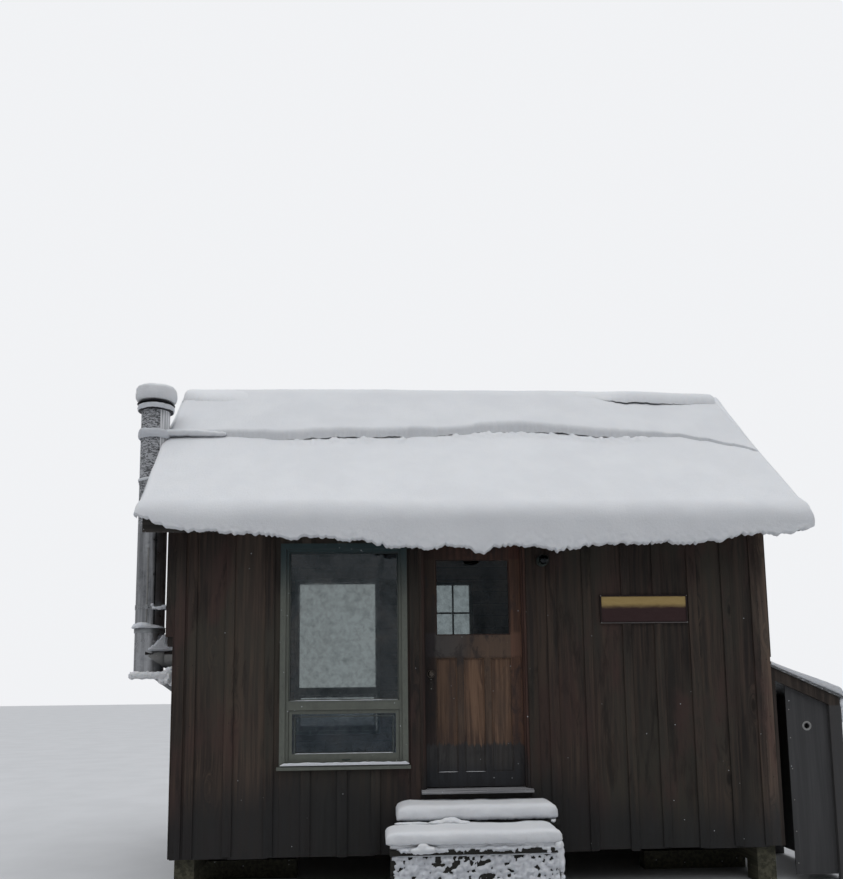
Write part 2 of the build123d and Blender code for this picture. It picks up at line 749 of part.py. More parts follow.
def sleeper_stack(x, y, courses):
    """Sleepers laid on each other, with chamfered arrises that show as grooves."""
    stack = block(x, y, (0, courses * sleeper))
    for i in range(1, courses):
        seam = i * sleeper
        for face, inward in ((y[0], 1), (y[1], -1)):
            stack -= along_x([(face, seam - sleeper_chamfer), (face + inward * sleeper_chamfer, seam),
                              (face, seam + sleeper_chamfer)], x)
    return stack


def step(center, y, courses):
    """Front and back stacks joined by side stacks, under one tread."""
    x = (center - step_width / 2, center + step_width / 2)
    crib_front_y = y[0] + tread_nose
    front_stack = sleeper_stack(x, (crib_front_y, crib_front_y + sleeper_width), courses)
    sides = [block(side, (crib_front_y + sleeper_width, y[1]), (0, courses * sleeper))
             for side in ((x[0], x[0] + sleeper_width), (x[1] - sleeper_width, x[1]))]
    tread = block((x[0] - tread_nose / 2, x[1] + tread_nose / 2), y,
                  (courses * sleeper, courses * sleeper + tread_thickness))
    return [front_stack + sides[0] + sides[1], tread]


upper_crib, upper_tread = step(upper_step_center_x, (upper_front_y, front_y), upper_courses)
lower_crib, lower_tread = step(lower_step_center_x, (lower_front_y, lower_back_y), lower_courses)
save("step_crib_upper", upper_crib)
save("step_crib_lower", lower_crib)
save("step_treads", upper_tread, lower_tread)


def pillow(center, y, courses):
    """The rounded bank of snow on a tread."""
    z = courses * sleeper + tread_thickness
    half = step_width / 2 + tread_nose / 2 + step_snow_bulge
    bank = block((center - half, center + half), y, (z, z + step_snow_depth))
    bank = fillet(bank.edges().filter_by(Axis.X).group_by(Axis.Z)[-1], 0.42 * step_snow_depth)
    return fillet([e for e in bank.edges() if abs(e.center().X - center) > half - 1], 0.3 * step_snow_depth)


save("step_snow",
     pillow(upper_step_center_x, (upper_front_y, front_y - fit_clearance), upper_courses),
     pillow(lower_step_center_x, (lower_front_y, upper_front_y - fit_clearance), lower_courses))

# Board, lamp and corner strip on the front
sign_x = (sign_center_x - sign_width / 2, sign_center_x + sign_width / 2)
sign_center_z = plate_height - sign_drop
sign_z = (sign_center_z - sign_height / 2, sign_center_z + sign_height / 2)
board = block(sign_x, (front_y - sign_thickness, front_y), sign_z)
board += ring(sign_x, sign_z, sign_frame, (front_y - sign_thickness - sign_frame_proud, front_y - sign_thickness))
save("sign_board", board)
light_z = doorway_top - light_drop
lamp_y = front_y - light_base_thickness
base = rod((light_x, front_y, light_z), (light_x, lamp_y, light_z), light_base_radius)
save("wall_light_base", base)
jar = rod((light_x, lamp_y, light_z), (light_x, lamp_y - light_jar_length, light_z), light_jar_radius)
jar = fillet(jar.edges().sort_by(Axis.Y)[0], 0.7 * light_jar_radius)
save("wall_light_jar", jar)
corner_board_top = plate_height - corner_board_drop
save("corner_strip", block((-half_length - corner_board_width, -half_length), (front_y, front_y + corner_board_depth),
                           (corner_board_top - corner_board_height, corner_board_top)))

# Lean-to: studs and rafters, front and side panels, sheet roof, snow. Its back is open.
wall_face = half_length
lean_end = wall_face + leanto_width
lean_slope = math.tan(math.radians(leanto_pitch))
lean_fall = math.cos(math.radians(leanto_pitch))
lean_y = (front_y, front_y + leanto_run)


def lean_under(x):
    """Height of the underside of the lean-to's rafters."""
    return leanto_high - leanto_rafter / lean_fall - (x - wall_face) * lean_slope


def lean_strip(x, low, high):
    return [(x[0], low(x[0])), (x[1], low(x[1])), (x[1], high(x[1])), (x[0], high(x[0]))]


def lean_top(x):
    return lean_under(x) + leanto_rafter / lean_fall


def lean_sheet_top(x):
    return lean_top(x) + leanto_sheet / lean_fall


stud_ends = [(lean_y[0], lean_y[0] + leanto_stud), (lean_y[1] - leanto_stud, lean_y[1])]
frames = []
for y in stud_ends:
    frame = along_y(lean_strip((wall_face, lean_end), lean_under, lean_top), y)
    inner = (wall_face, wall_face + leanto_stud)
    outer = (lean_end - leanto_post, lean_end)
    frame += along_y([(inner[0], siding_bottom), (inner[1], siding_bottom), (inner[1], lean_under(inner[1])),
                      (inner[0], lean_under(inner[0]))], y)
    frame += along_y([(outer[0], 0), (outer[1], 0), (outer[1], lean_under(outer[1])),
                      (outer[0], lean_under(outer[0]))], y)
    frames.append(frame)
save("leanto_frames", *frames)

front_panel_x = (wall_face + leanto_stud + leanto_panel_gap, lean_end - fit_clearance)
front_panel_y = (stud_ends[0][1], stud_ends[0][1] + leanto_panel)
front_panel = along_y(lean_strip(front_panel_x, lambda x: leanto_panel_bottom, lean_under), front_panel_y)
hole_x = wall_face + leanto_hole_x
front_panel -= rod((hole_x, front_panel_y[0] - 1, leanto_hole_z), (hole_x, front_panel_y[1] + 1, leanto_hole_z),
                   leanto_hole_radius)
side_panel_top = lean_top(lean_end + leanto_panel) - fit_clearance
side_panel = block((lean_end, lean_end + leanto_panel), lean_y, (leanto_panel_bottom, side_panel_top))
save("leanto_panels", front_panel, side_panel)
sheet_y = (lean_y[0] - leanto_front_overhang, lean_y[1] + leanto_front_overhang)
sheet_x = (wall_face, lean_end + leanto_end_overhang)
save("leanto_roof", along_y(lean_strip(sheet_x, lean_top, lean_sheet_top), sheet_y))
save("leanto_snow", along_y(
    lean_strip(sheet_x, lean_sheet_top, lambda x: lean_sheet_top(x) + leanto_snow_depth / lean_fall), sheet_y))
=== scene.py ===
import math
import random

import bpy
from mathutils import Matrix, Vector, noise


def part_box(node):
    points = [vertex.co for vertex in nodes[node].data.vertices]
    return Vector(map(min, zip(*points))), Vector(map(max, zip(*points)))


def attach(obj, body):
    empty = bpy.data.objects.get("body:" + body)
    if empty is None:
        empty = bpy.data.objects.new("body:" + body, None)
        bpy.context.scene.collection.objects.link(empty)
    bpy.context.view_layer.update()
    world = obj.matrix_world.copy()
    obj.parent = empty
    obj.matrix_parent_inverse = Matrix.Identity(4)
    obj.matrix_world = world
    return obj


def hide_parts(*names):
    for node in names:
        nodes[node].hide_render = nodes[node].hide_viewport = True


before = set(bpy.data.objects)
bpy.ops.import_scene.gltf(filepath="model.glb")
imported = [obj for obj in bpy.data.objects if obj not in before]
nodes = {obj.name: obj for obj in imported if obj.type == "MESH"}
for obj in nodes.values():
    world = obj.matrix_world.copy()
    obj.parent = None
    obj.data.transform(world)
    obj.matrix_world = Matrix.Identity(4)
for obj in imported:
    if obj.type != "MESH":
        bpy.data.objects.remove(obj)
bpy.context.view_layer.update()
print("frame loaded with", len(nodes), "nodes")

# Lines of the cabin that every piece below is set out from, in metres
roof = {
    "pitch": math.radians(40.8),
    "eave": -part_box("roof_sheathing_front")[0].y,
    "ridge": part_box("roof_sheathing_front")[1].z,
    "sheathing": 0.018,
    "fasciaBottom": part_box("fascia_boards")[0].z,
}
roof["slope"] = math.tan(roof["pitch"])
roof["fall"] = math.cos(roof["pitch"])
cabin = {
    "left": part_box("front_wall_left")[0].x,
    "right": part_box("front_wall_right")[1].x,
    "front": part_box("front_wall_left")[0].y,
    "back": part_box("back_wall")[1].y,
    "skirt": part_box("front_wall_left")[0].z,
    "plate": 3.033,
}


def roofTop(y):
    return roof["ridge"] - abs(y) * roof["slope"]


def underSheathing(y):
    return roofTop(y) - roof["sheathing"] / roof["fall"]


# Modelling helpers


def deselect():
    bpy.ops.object.select_all(action="DESELECT")


def makeActive(obj):
    deselect()
    obj.select_set(True)
    bpy.context.view_layer.objects.active = obj


def applyModifiers(obj):
    makeActive(obj)
    for modifier in list(obj.modifiers):
        bpy.ops.object.modifier_apply(modifier=modifier.name)


def addBevel(obj, width, segments):
    bevel = obj.modifiers.new("softEdges", "BEVEL")
    bevel.width = width
    bevel.segments = segments
    bevel.limit_method = "ANGLE"
    bevel.angle_limit = math.radians(40)


def finishPiece(obj, material, slotName=None, body="cabin", replaced=(), smooth=35):
    makeActive(obj)
    bpy.ops.object.transform_apply(location=True, rotation=True, scale=True)
    applyModifiers(obj)
    if smooth:
        bpy.ops.object.shade_smooth_by_angle(angle=math.radians(smooth))
    obj.data.materials.clear()
    obj.data.materials.append(materials[material])
    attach(obj, body)
    if replaced:
        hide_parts(*replaced)


def gather(name, primitives):  # runs each operator with its settings, and keeps all they add in one mesh
    deselect()
    obj = None
    for add, settings in primitives:
        add(**settings)
        if obj is None:
            obj = bpy.context.active_object
            bpy.ops.object.transform_apply(location=True, rotation=True, scale=True)
            bpy.ops.object.mode_set(mode="EDIT")
    bpy.ops.object.mode_set(mode="OBJECT")
    obj.name = name
    return obj


def addBoxes(name, boxes):  # each box is a low and a high corner
    return gather(name, [(bpy.ops.mesh.primitive_cube_add, {
        "size": 1,
        "location": [(a + b) / 2 for a, b in zip(low, high)],
        "scale": [b - a for a, b in zip(low, high)],
    }) for low, high in boxes])


def addBoxPiece(name, boxes, material, slotName, bevel=0.0, segments=2, toneSeed=None, **settings):
    obj = addBoxes(name, boxes)
    if toneSeed is not None:
        toneParts(obj, toneSeed)
    if bevel:
        addBevel(obj, bevel, segments)
    finishPiece(obj, material, slotName, **settings)


# nails and bolts
def addPins(name, spots, radius, depth, material, slotName, axis="Y", sides=10, **settings):
    turn = {"X": (0, math.radians(90), 0), "Y": (math.radians(90), 0, 0)}[axis]
    obj = gather(name, [(bpy.ops.mesh.primitive_cylinder_add, {
        "vertices": sides, "radius": radius, "depth": depth, "location": spot, "rotation": turn,
    }) for spot in spots])
    finishPiece(obj, material, slotName, smooth=30, **settings)


def finishSnow(obj, material, **settings):
    finishPiece(obj, material, "snow", smooth=60, **settings)


def toneParts(obj, seed):  # one random value for each board of six faces, read by the wood materials
    draw = random.Random(seed)
    count = len(obj.data.polygons)
    values = [draw.random() for _ in range(count // 6 + 1)]
    tone = obj.data.attributes.new("tone", "FLOAT", "FACE")
    tone.data.foreach_set("value", [values[i // 6] for i in range(count)])


def valueAt(line, x):  # a smooth value between (x, value) points
    if x <= line[0][0]:
        return line[0][1]
    for (xa, va), (xb, vb) in zip(line[:-1], line[1:]):
        if x <= xb:
            t = (x - xa) / (xb - xa)
            return va + (vb - va) * t * t * (3 - 2 * t)
    return line[-1][1]


def step(low, high, x):
    t = min(1.0, max(0.0, (x - low) / (high - low)))
    return t * t * (3 - 2 * t)


def smoothCurve(points, samples):  # points on a curve that runs through each given point
    made = []
    padded = [points[0]] + list(points) + [points[-1]]
    for a, b, c, d in zip(padded[:-3], padded[1:-2], padded[2:-1], padded[3:]):
        for k in range(samples):
            t = k / samples
            made.append(tuple(
                0.5 * (2 * q + (r - p) * t + (2 * p - 5 * q + 4 * r - s) * t * t
                       + (3 * q - p - 3 * r + s) * t * t * t)
                for p, q, r, s in zip(a, b, c, d)
            ))
    made.append(tuple(points[-1]))
    return made


def ripple(x, y, z, scale, seed):  # smooth noise from about -1 to 1
    return noise.noise(Vector((x * scale + seed * 7.3, y * scale - seed * 3.1, z * scale + seed * 1.7)))


def loftSections(name, sections):  # closed sections of equal length, one after the other, with filled ends
    columns = len(sections) - 1
    rows = len(sections[0])
    deselect()
    bpy.ops.mesh.primitive_grid_add(x_subdivisions=columns, y_subdivisions=rows, size=1)
    obj = bpy.context.active_object
    obj.name = name
    for vertex in obj.data.vertices:
        i = round((vertex.co.x + 0.5) * columns)
        j = round((vertex.co.y + 0.5) * rows)
        vertex.co = sections[i][j % rows]
    bpy.ops.object.mode_set(mode="EDIT")
    bpy.ops.mesh.select_all(action="SELECT")
    bpy.ops.mesh.remove_doubles(threshold=0.00001)
    bpy.ops.mesh.select_all(action="SELECT")
    bpy.ops.mesh.fill_holes(sides=0)
    bpy.ops.mesh.select_all(action="SELECT")
    bpy.ops.mesh.normals_make_consistent(inside=False)
    bpy.ops.object.mode_set(mode="OBJECT")
    return obj


def addBlobs(name, blobs, voxel, smoothing, rough, grain, seed, tumble=True):  # lumps run together
    draw = random.Random(seed)
    obj = gather(name, [(bpy.ops.mesh.primitive_ico_sphere_add, {
        "subdivisions": 2, "radius": 1, "location": centre, "scale": size,
        "rotation": [draw.uniform(0, math.pi) for _ in range(3)] if tumble else (0, 0, 0),
    }) for centre, size in blobs])
    remesh = obj.modifiers.new("runTogether", "REMESH")
    remesh.mode = "VOXEL"
    remesh.voxel_size = voxel
    soften = obj.modifiers.new("soften", "SMOOTH")
    soften.iterations = smoothing
    clouds = bpy.data.textures.new(name + "Grain", "CLOUDS")
    clouds.noise_scale = grain
    push = obj.modifiers.new("lumps", "DISPLACE")
    push.texture = clouds
    push.texture_coords = "LOCAL"
    push.strength = rough
    applyModifiers(obj)
    return obj


# Shader helpers


def setInputs(tree, node, values):  # links a socket, and types in anything else
    for key, value in values.items():
        if isinstance(value, bpy.types.NodeSocket):
            tree.links.new(value, node.inputs[key])
        else:
            node.inputs[key].default_value = value


def addNode(tree, kind, values=None, **settings):
    made = tree.nodes.new(kind)
    for key, value in settings.items():
        setattr(made, key, value)
    setInputs(tree, made, values or {})
    return made


def calc(tree, operation, first, second=0.0, clamp=False):
    values = {0: first, 1: second}
    return addNode(tree, "ShaderNodeMath", values, operation=operation, use_clamp=clamp).outputs[0]


def times(tree, first, second):
    return calc(tree, "MULTIPLY", first, second)


def plus(tree, first, second):
    return calc(tree, "ADD", first, second)


def minus(tree, first, second):
    return calc(tree, "SUBTRACT", first, second)


def axesOf(tree, vector):
    return addNode(tree, "ShaderNodeSeparateXYZ", {0: vector}).outputs


def geometry(tree, name):
    return addNode(tree, "ShaderNodeNewGeometry").outputs[name]


def grey(tree, value):
    return addNode(tree, "ShaderNodeCombineColor", {0: value, 1: value, 2: value}).outputs[0]


def dimmed(colour, share):
    return tuple(share * c for c in colour)


def blendColour(tree, factor, first, second, mode="MIX"):  # a colour is three values, or a socket
    first, second = ((*c, 1) if isinstance(c, tuple) else c for c in (first, second))
    values = {0: factor, 6: first, 7: second}
    return addNode(tree, "ShaderNodeMix", values, data_type="RGBA", blend_type=mode).outputs[2]


def spread(tree, value, low, high, newLow=0.0, newHigh=1.0):
    values = {"Value": value, "From Min": low, "From Max": high, "To Min": newLow, "To Max": newHigh}
    return addNode(tree, "ShaderNodeMapRange", values, interpolation_type="SMOOTHSTEP").outputs[0]


def colourRamp(tree, factor, stops):
    made = addNode(tree, "ShaderNodeValToRGB", {"Fac": factor})
    band = made.color_ramp
    while len(band.elements) < len(stops):
        band.elements.new(0.5)
    for element, (place, colour) in zip(band.elements, stops):
        element.position = place
        element.color = (*colour, 1)
    return made.outputs[0]


def stretch(tree, vector, scale, turn=(0, 0, 0), shift=(0, 0, 0)):
    values = {"Vector": vector, "Scale": scale, "Rotation": turn, "Location": shift}
    return addNode(tree, "ShaderNodeMapping", values).outputs[0]


def noiseAt(tree, vector, scale, detail=4.0, roughness=0.55, distortion=0.0):
    values = {"Vector": vector, "Scale": scale, "Detail": detail, "Roughness": roughness,
              "Distortion": distortion}
    return addNode(tree, "ShaderNodeTexNoise", values).outputs["Fac"]


def stretchedNoise(tree, place, scale, detail, roughness=0.55, distortion=0.0, shift=(0, 0, 0)):
    return noiseAt(tree, stretch(tree, place, scale, shift=shift), 1.0, detail, roughness, distortion)


def tinted(tree, factor, colour, tint):
    return blendColour(tree, factor, colour, blendColour(tree, 1.0, colour, tint, "MULTIPLY"))


def newGroup(name, inputs, outputs):
    tree = bpy.data.node_groups.new(name, "ShaderNodeTree")
    for socketName, kind, value in inputs:
        socket = tree.interface.new_socket(name=socketName, in_out="INPUT", socket_type=kind)
        if value is not None:
            socket.default_value = value
    for socketName, kind in outputs:
        tree.interface.new_socket(name=socketName, in_out="OUTPUT", socket_type=kind)
    return tree, tree.nodes.new("NodeGroupInput").outputs, tree.nodes.new("NodeGroupOutput")


def buildGrain():  # fibres along Z, rings round knots, and a different cut for each board
    tree, given, result = newGroup(
        "woodGrain",
        [("Position", "NodeSocketVector", None), ("Tone", "NodeSocketFloat", 0.0),
         ("Knots", "NodeSocketFloat", 1.0)],
        [("Streaks", "NodeSocketFloat"), ("Knot", "NodeSocketFloat"), ("Height", "NodeSocketFloat")],
    )
    shift = addNode(tree, "ShaderNodeCombineXYZ", {
        0: times(tree, given["Tone"], 31.0),
        1: times(tree, given["Tone"], 17.0),
        2: times(tree, given["Tone"], 43.0),
    }).outputs[0]
    place = addNode(tree, "ShaderNodeVectorMath", {0: given["Position"], 1: shift}).outputs[0]
    knotCells = addNode(tree, "ShaderNodeTexVoronoi", {
        "Vector": stretch(tree, place, (4.6, 4.6, 1.5)), "Scale": 1.0, "Randomness": 1.0,
    })
    shade = addNode(tree, "ShaderNodeSeparateColor", {0: knotCells.outputs["Color"]}).outputs[0]
    keep = spread(tree, shade, 0.45, 0.55)
    distance = knotCells.outputs["Distance"]
    near = times(tree, times(tree, spread(tree, distance, 0.30, 0.02), keep), given["Knots"])
    knot = times(tree, times(tree, spread(tree, distance, 0.110, 0.05), keep), given["Knots"])
    wander = stretchedNoise(tree, place, (1.5, 1.5, 0.6), 2.0)
    drift = addNode(tree, "ShaderNodeCombineXYZ", {
        0: plus(tree, times(tree, near, 0.10), times(tree, wander, 0.07)),
        1: times(tree, near, 0.10),
    }).outputs[0]
    bent = addNode(tree, "ShaderNodeVectorMath", {0: place, 1: drift}).outputs[0]
    broad = stretchedNoise(tree, bent, (34, 34, 1.1), 3.0, 0.5, 0.2)
    fine = stretchedNoise(tree, bent, (170, 170, 4.0), 3.0, 0.6)
    streaks = plus(tree, times(tree, broad, 0.7), times(tree, fine, 0.3))
    height = minus(tree, times(tree, fine, 0.8), times(tree, knot, 0.5))
    setInputs(tree, result, {"Streaks": streaks, "Knot": knot, "Height": height})
    return tree


def buildFrost():  # small flecks of blown snow, and a mask that says where they gather
    tree, given, result = newGroup(
        "blownSnow",
        [("Position", "NodeSocketVector", None), ("Size", "NodeSocketFloat", 60.0),
         ("Amount", "NodeSocketFloat", 0.2), ("Patches", "NodeSocketFloat", 3.0)],
        [("Flecks", "NodeSocketFloat"), ("Height", "NodeSocketFloat")],
    )
    cells = addNode(tree, "ShaderNodeTexVoronoi", {"Vector": given["Position"], "Scale": given["Size"]})
    pick = addNode(tree, "ShaderNodeSeparateColor", {0: cells.outputs["Color"]})
    patches = noiseAt(tree, given["Position"], given["Patches"], 3.0)
    level = minus(tree, 1.0, times(tree, given["Amount"], calc(tree, "POWER", patches, 2.0)))
    chosen = calc(tree, "GREATER_THAN", pick.outputs[0], level)
    size = plus(tree, times(tree, pick.outputs[1], 0.32), 0.12)
    dot = spread(tree, minus(tree, cells.outputs["Distance"], size), 0.05, -0.08)
    flecks = times(tree, dot, chosen)
    setInputs(tree, result, {"Flecks": flecks, "Height": flecks})
    return tree


def buildWear():  # worn arrises, where the surface turns within a short reach, broken up by a blotchy mask
    tree, given, result = newGroup(
        "edgeWear",
        [("Position", "NodeSocketVector", None), ("Reach", "NodeSocketFloat", 0.004),
         ("Scale", "NodeSocketFloat", 30.0)],
        [("Edge", "NodeSocketFloat"), ("Blotch", "NodeSocketFloat")],
    )
    rounded = addNode(tree, "ShaderNodeBevel", {"Radius": given["Reach"]}, samples=4).outputs[0]
    normals = {0: rounded, 1: geometry(tree, "Normal")}
    facing = addNode(tree, "ShaderNodeVectorMath", normals, operation="DOT_PRODUCT").outputs["Value"]
    patches = noiseAt(tree, given["Position"], given["Scale"], 5.0, 0.65)
    edge = times(tree, spread(tree, facing, 0.998, 0.93), spread(tree, patches, 0.42, 0.58))
    setInputs(tree, result, {"Edge": edge, "Blotch": patches})
    return tree


groups = {"grain": buildGrain(), "frost": buildFrost(), "wear": buildWear()}


def useGroup(tree, name, values):
    return addNode(tree, "ShaderNodeGroup", values, node_tree=groups[name]).outputs


def newMaterial(name):
    made = bpy.data.materials.new(name)
    made.use_nodes = True
    tree = made.node_tree
    place = addNode(tree, "ShaderNodeTexCoord").outputs["Object"]
    return made, tree, tree.nodes["Principled BSDF"], place


def setBump(tree, shader, height, strength, distance):
    bump = addNode(tree, "ShaderNodeBump", {"Height": height, "Strength": strength, "Distance": distance})
    tree.links.new(bump.outputs[0], shader.inputs["Normal"])


def makeWood(name, tones, knots, along="Z", roughness=0.75, bump=0.5, blackBelow=None, blackSinks=0.0,
             frost=0.0, greyTint=None, redTint=None, worn=None, boardContrast=0.45, paintedLightAlong=None,
             greyBeyond=None):
    made, tree, shader, place = newMaterial(name)
    turn = {"Z": (0, 0, 0), "X": (0, math.radians(90), 0), "Y": (math.radians(90), 0, 0)}[along]
    tone = addNode(tree, "ShaderNodeAttribute", attribute_name="tone").outputs["Fac"]
    grain = useGroup(tree, "grain", {"Position": stretch(tree, place, (1, 1, 1), turn), "Tone": tone,
                                     "Knots": knots})
    boardShift = times(tree, minus(tree, tone, 0.5), boardContrast)
    factor = calc(tree, "ADD", spread(tree, grain["Streaks"], 0.32, 0.68, 0.12, 0.88), boardShift, clamp=True)
    colour = colourRamp(tree, factor, [(0.0, tones[0]), (0.5, tones[1]), (1.0, tones[2])])
    if greyTint:
        weather = spread(tree, stretchedNoise(tree, place, (2.2, 2.2, 0.8), 4.0), 0.40, 0.66)
        colour = blendColour(tree, times(tree, weather, 0.75), colour, greyTint)
    if redTint:
        flush = spread(tree, stretchedNoise(tree, place, (2.8, 2.8, 1.1), 5.0, shift=(4, 2, 7)), 0.50, 0.66)
        colour = blendColour(tree, times(tree, flush, 0.60), colour, redTint)
        stains = stretchedNoise(tree, place, (9, 9, 1.6), 5.0, 0.65, 0.4, shift=(1, 5, 3))
        stained = times(tree, spread(tree, stains, 0.53, 0.68), 0.62)
        colour = blendColour(tree, stained, colour, dimmed(tones[0], 0.8))
    colour = blendColour(tree, times(tree, grain["Knot"], 0.7), colour, dimmed(tones[0], 0.35))
    if worn:
        wear = useGroup(tree, "wear", {"Position": place, "Scale": 22.0, "Reach": 0.004})
        colour = blendColour(tree, times(tree, wear["Edge"], 0.55), colour, worn)
    if blackBelow:  # damp, blackened wood up to an uneven line, which climbs along the fibres
        low, high, black = blackBelow
        axes = axesOf(tree, place)
        height = plus(tree, axes[2], spread(tree, axes[0], 0.4, 1.6, 0.0, blackSinks))
        climb = stretchedNoise(tree, place, (9, 9, 0.5), 3.0)
        patch = stretchedNoise(tree, place, (1.1, 1.1, 0.9), 2.0)
        line = minus(tree, height, plus(tree, times(tree, climb, 0.30), times(tree, patch, 0.45)))
        line = minus(tree, line, times(tree, tone, 0.12))
        damp = spread(tree, line, high - 0.40, low - 0.40)
        colour = blendColour(tree, times(tree, damp, 0.86), colour, black)
    height = grain["Height"]
    if frost:
        blown = useGroup(tree, "frost", {"Position": place, "Size": 75.0, "Amount": frost, "Patches": 2.3})
        colour = blendColour(tree, blown["Flecks"], colour, (0.55, 0.57, 0.60))
        height = plus(tree, height, times(tree, blown["Height"], 2.0))
    if paintedLightAlong:  # painted light and shade: the colour is scaled along x by the listed factors
        along = spread(tree, axesOf(tree, place)[0], -2.5, 2.5)
        along.node.interpolation_type = "LINEAR"
        colour = blendColour(tree, 1.0, colour, colourRamp(tree, along, [
            ((x + 2.5) / 5, (value, value, value)) for x, value in paintedLightAlong]), "MULTIPLY")
    if greyBeyond:
        axes = axesOf(tree, place)
        outer = times(tree, spread(tree, axes[0], greyBeyond[0], greyBeyond[0] + 0.01),
                      spread(tree, axes[2], greyBeyond[1], greyBeyond[1] - 0.02))
        greyed = blendColour(tree, times(tree, grain["Streaks"], 0.3), greyBeyond[2], colour)
        colour = blendColour(tree, outer, colour, greyed)
    rough = spread(tree, grain["Streaks"], 0.3, 0.7, roughness - 0.10, min(1.0, roughness + 0.12))
    setInputs(tree, shader, {"Base Color": colour, "Roughness": rough, "Specular IOR Level": 0.3})
    setBump(tree, shader, height, bump, 0.0015)
    return made


door = {"stile": 0.098, "mullion": 0.055, "panelBottom": 0.916, "panelTop": 1.833, "recess": 0.014}


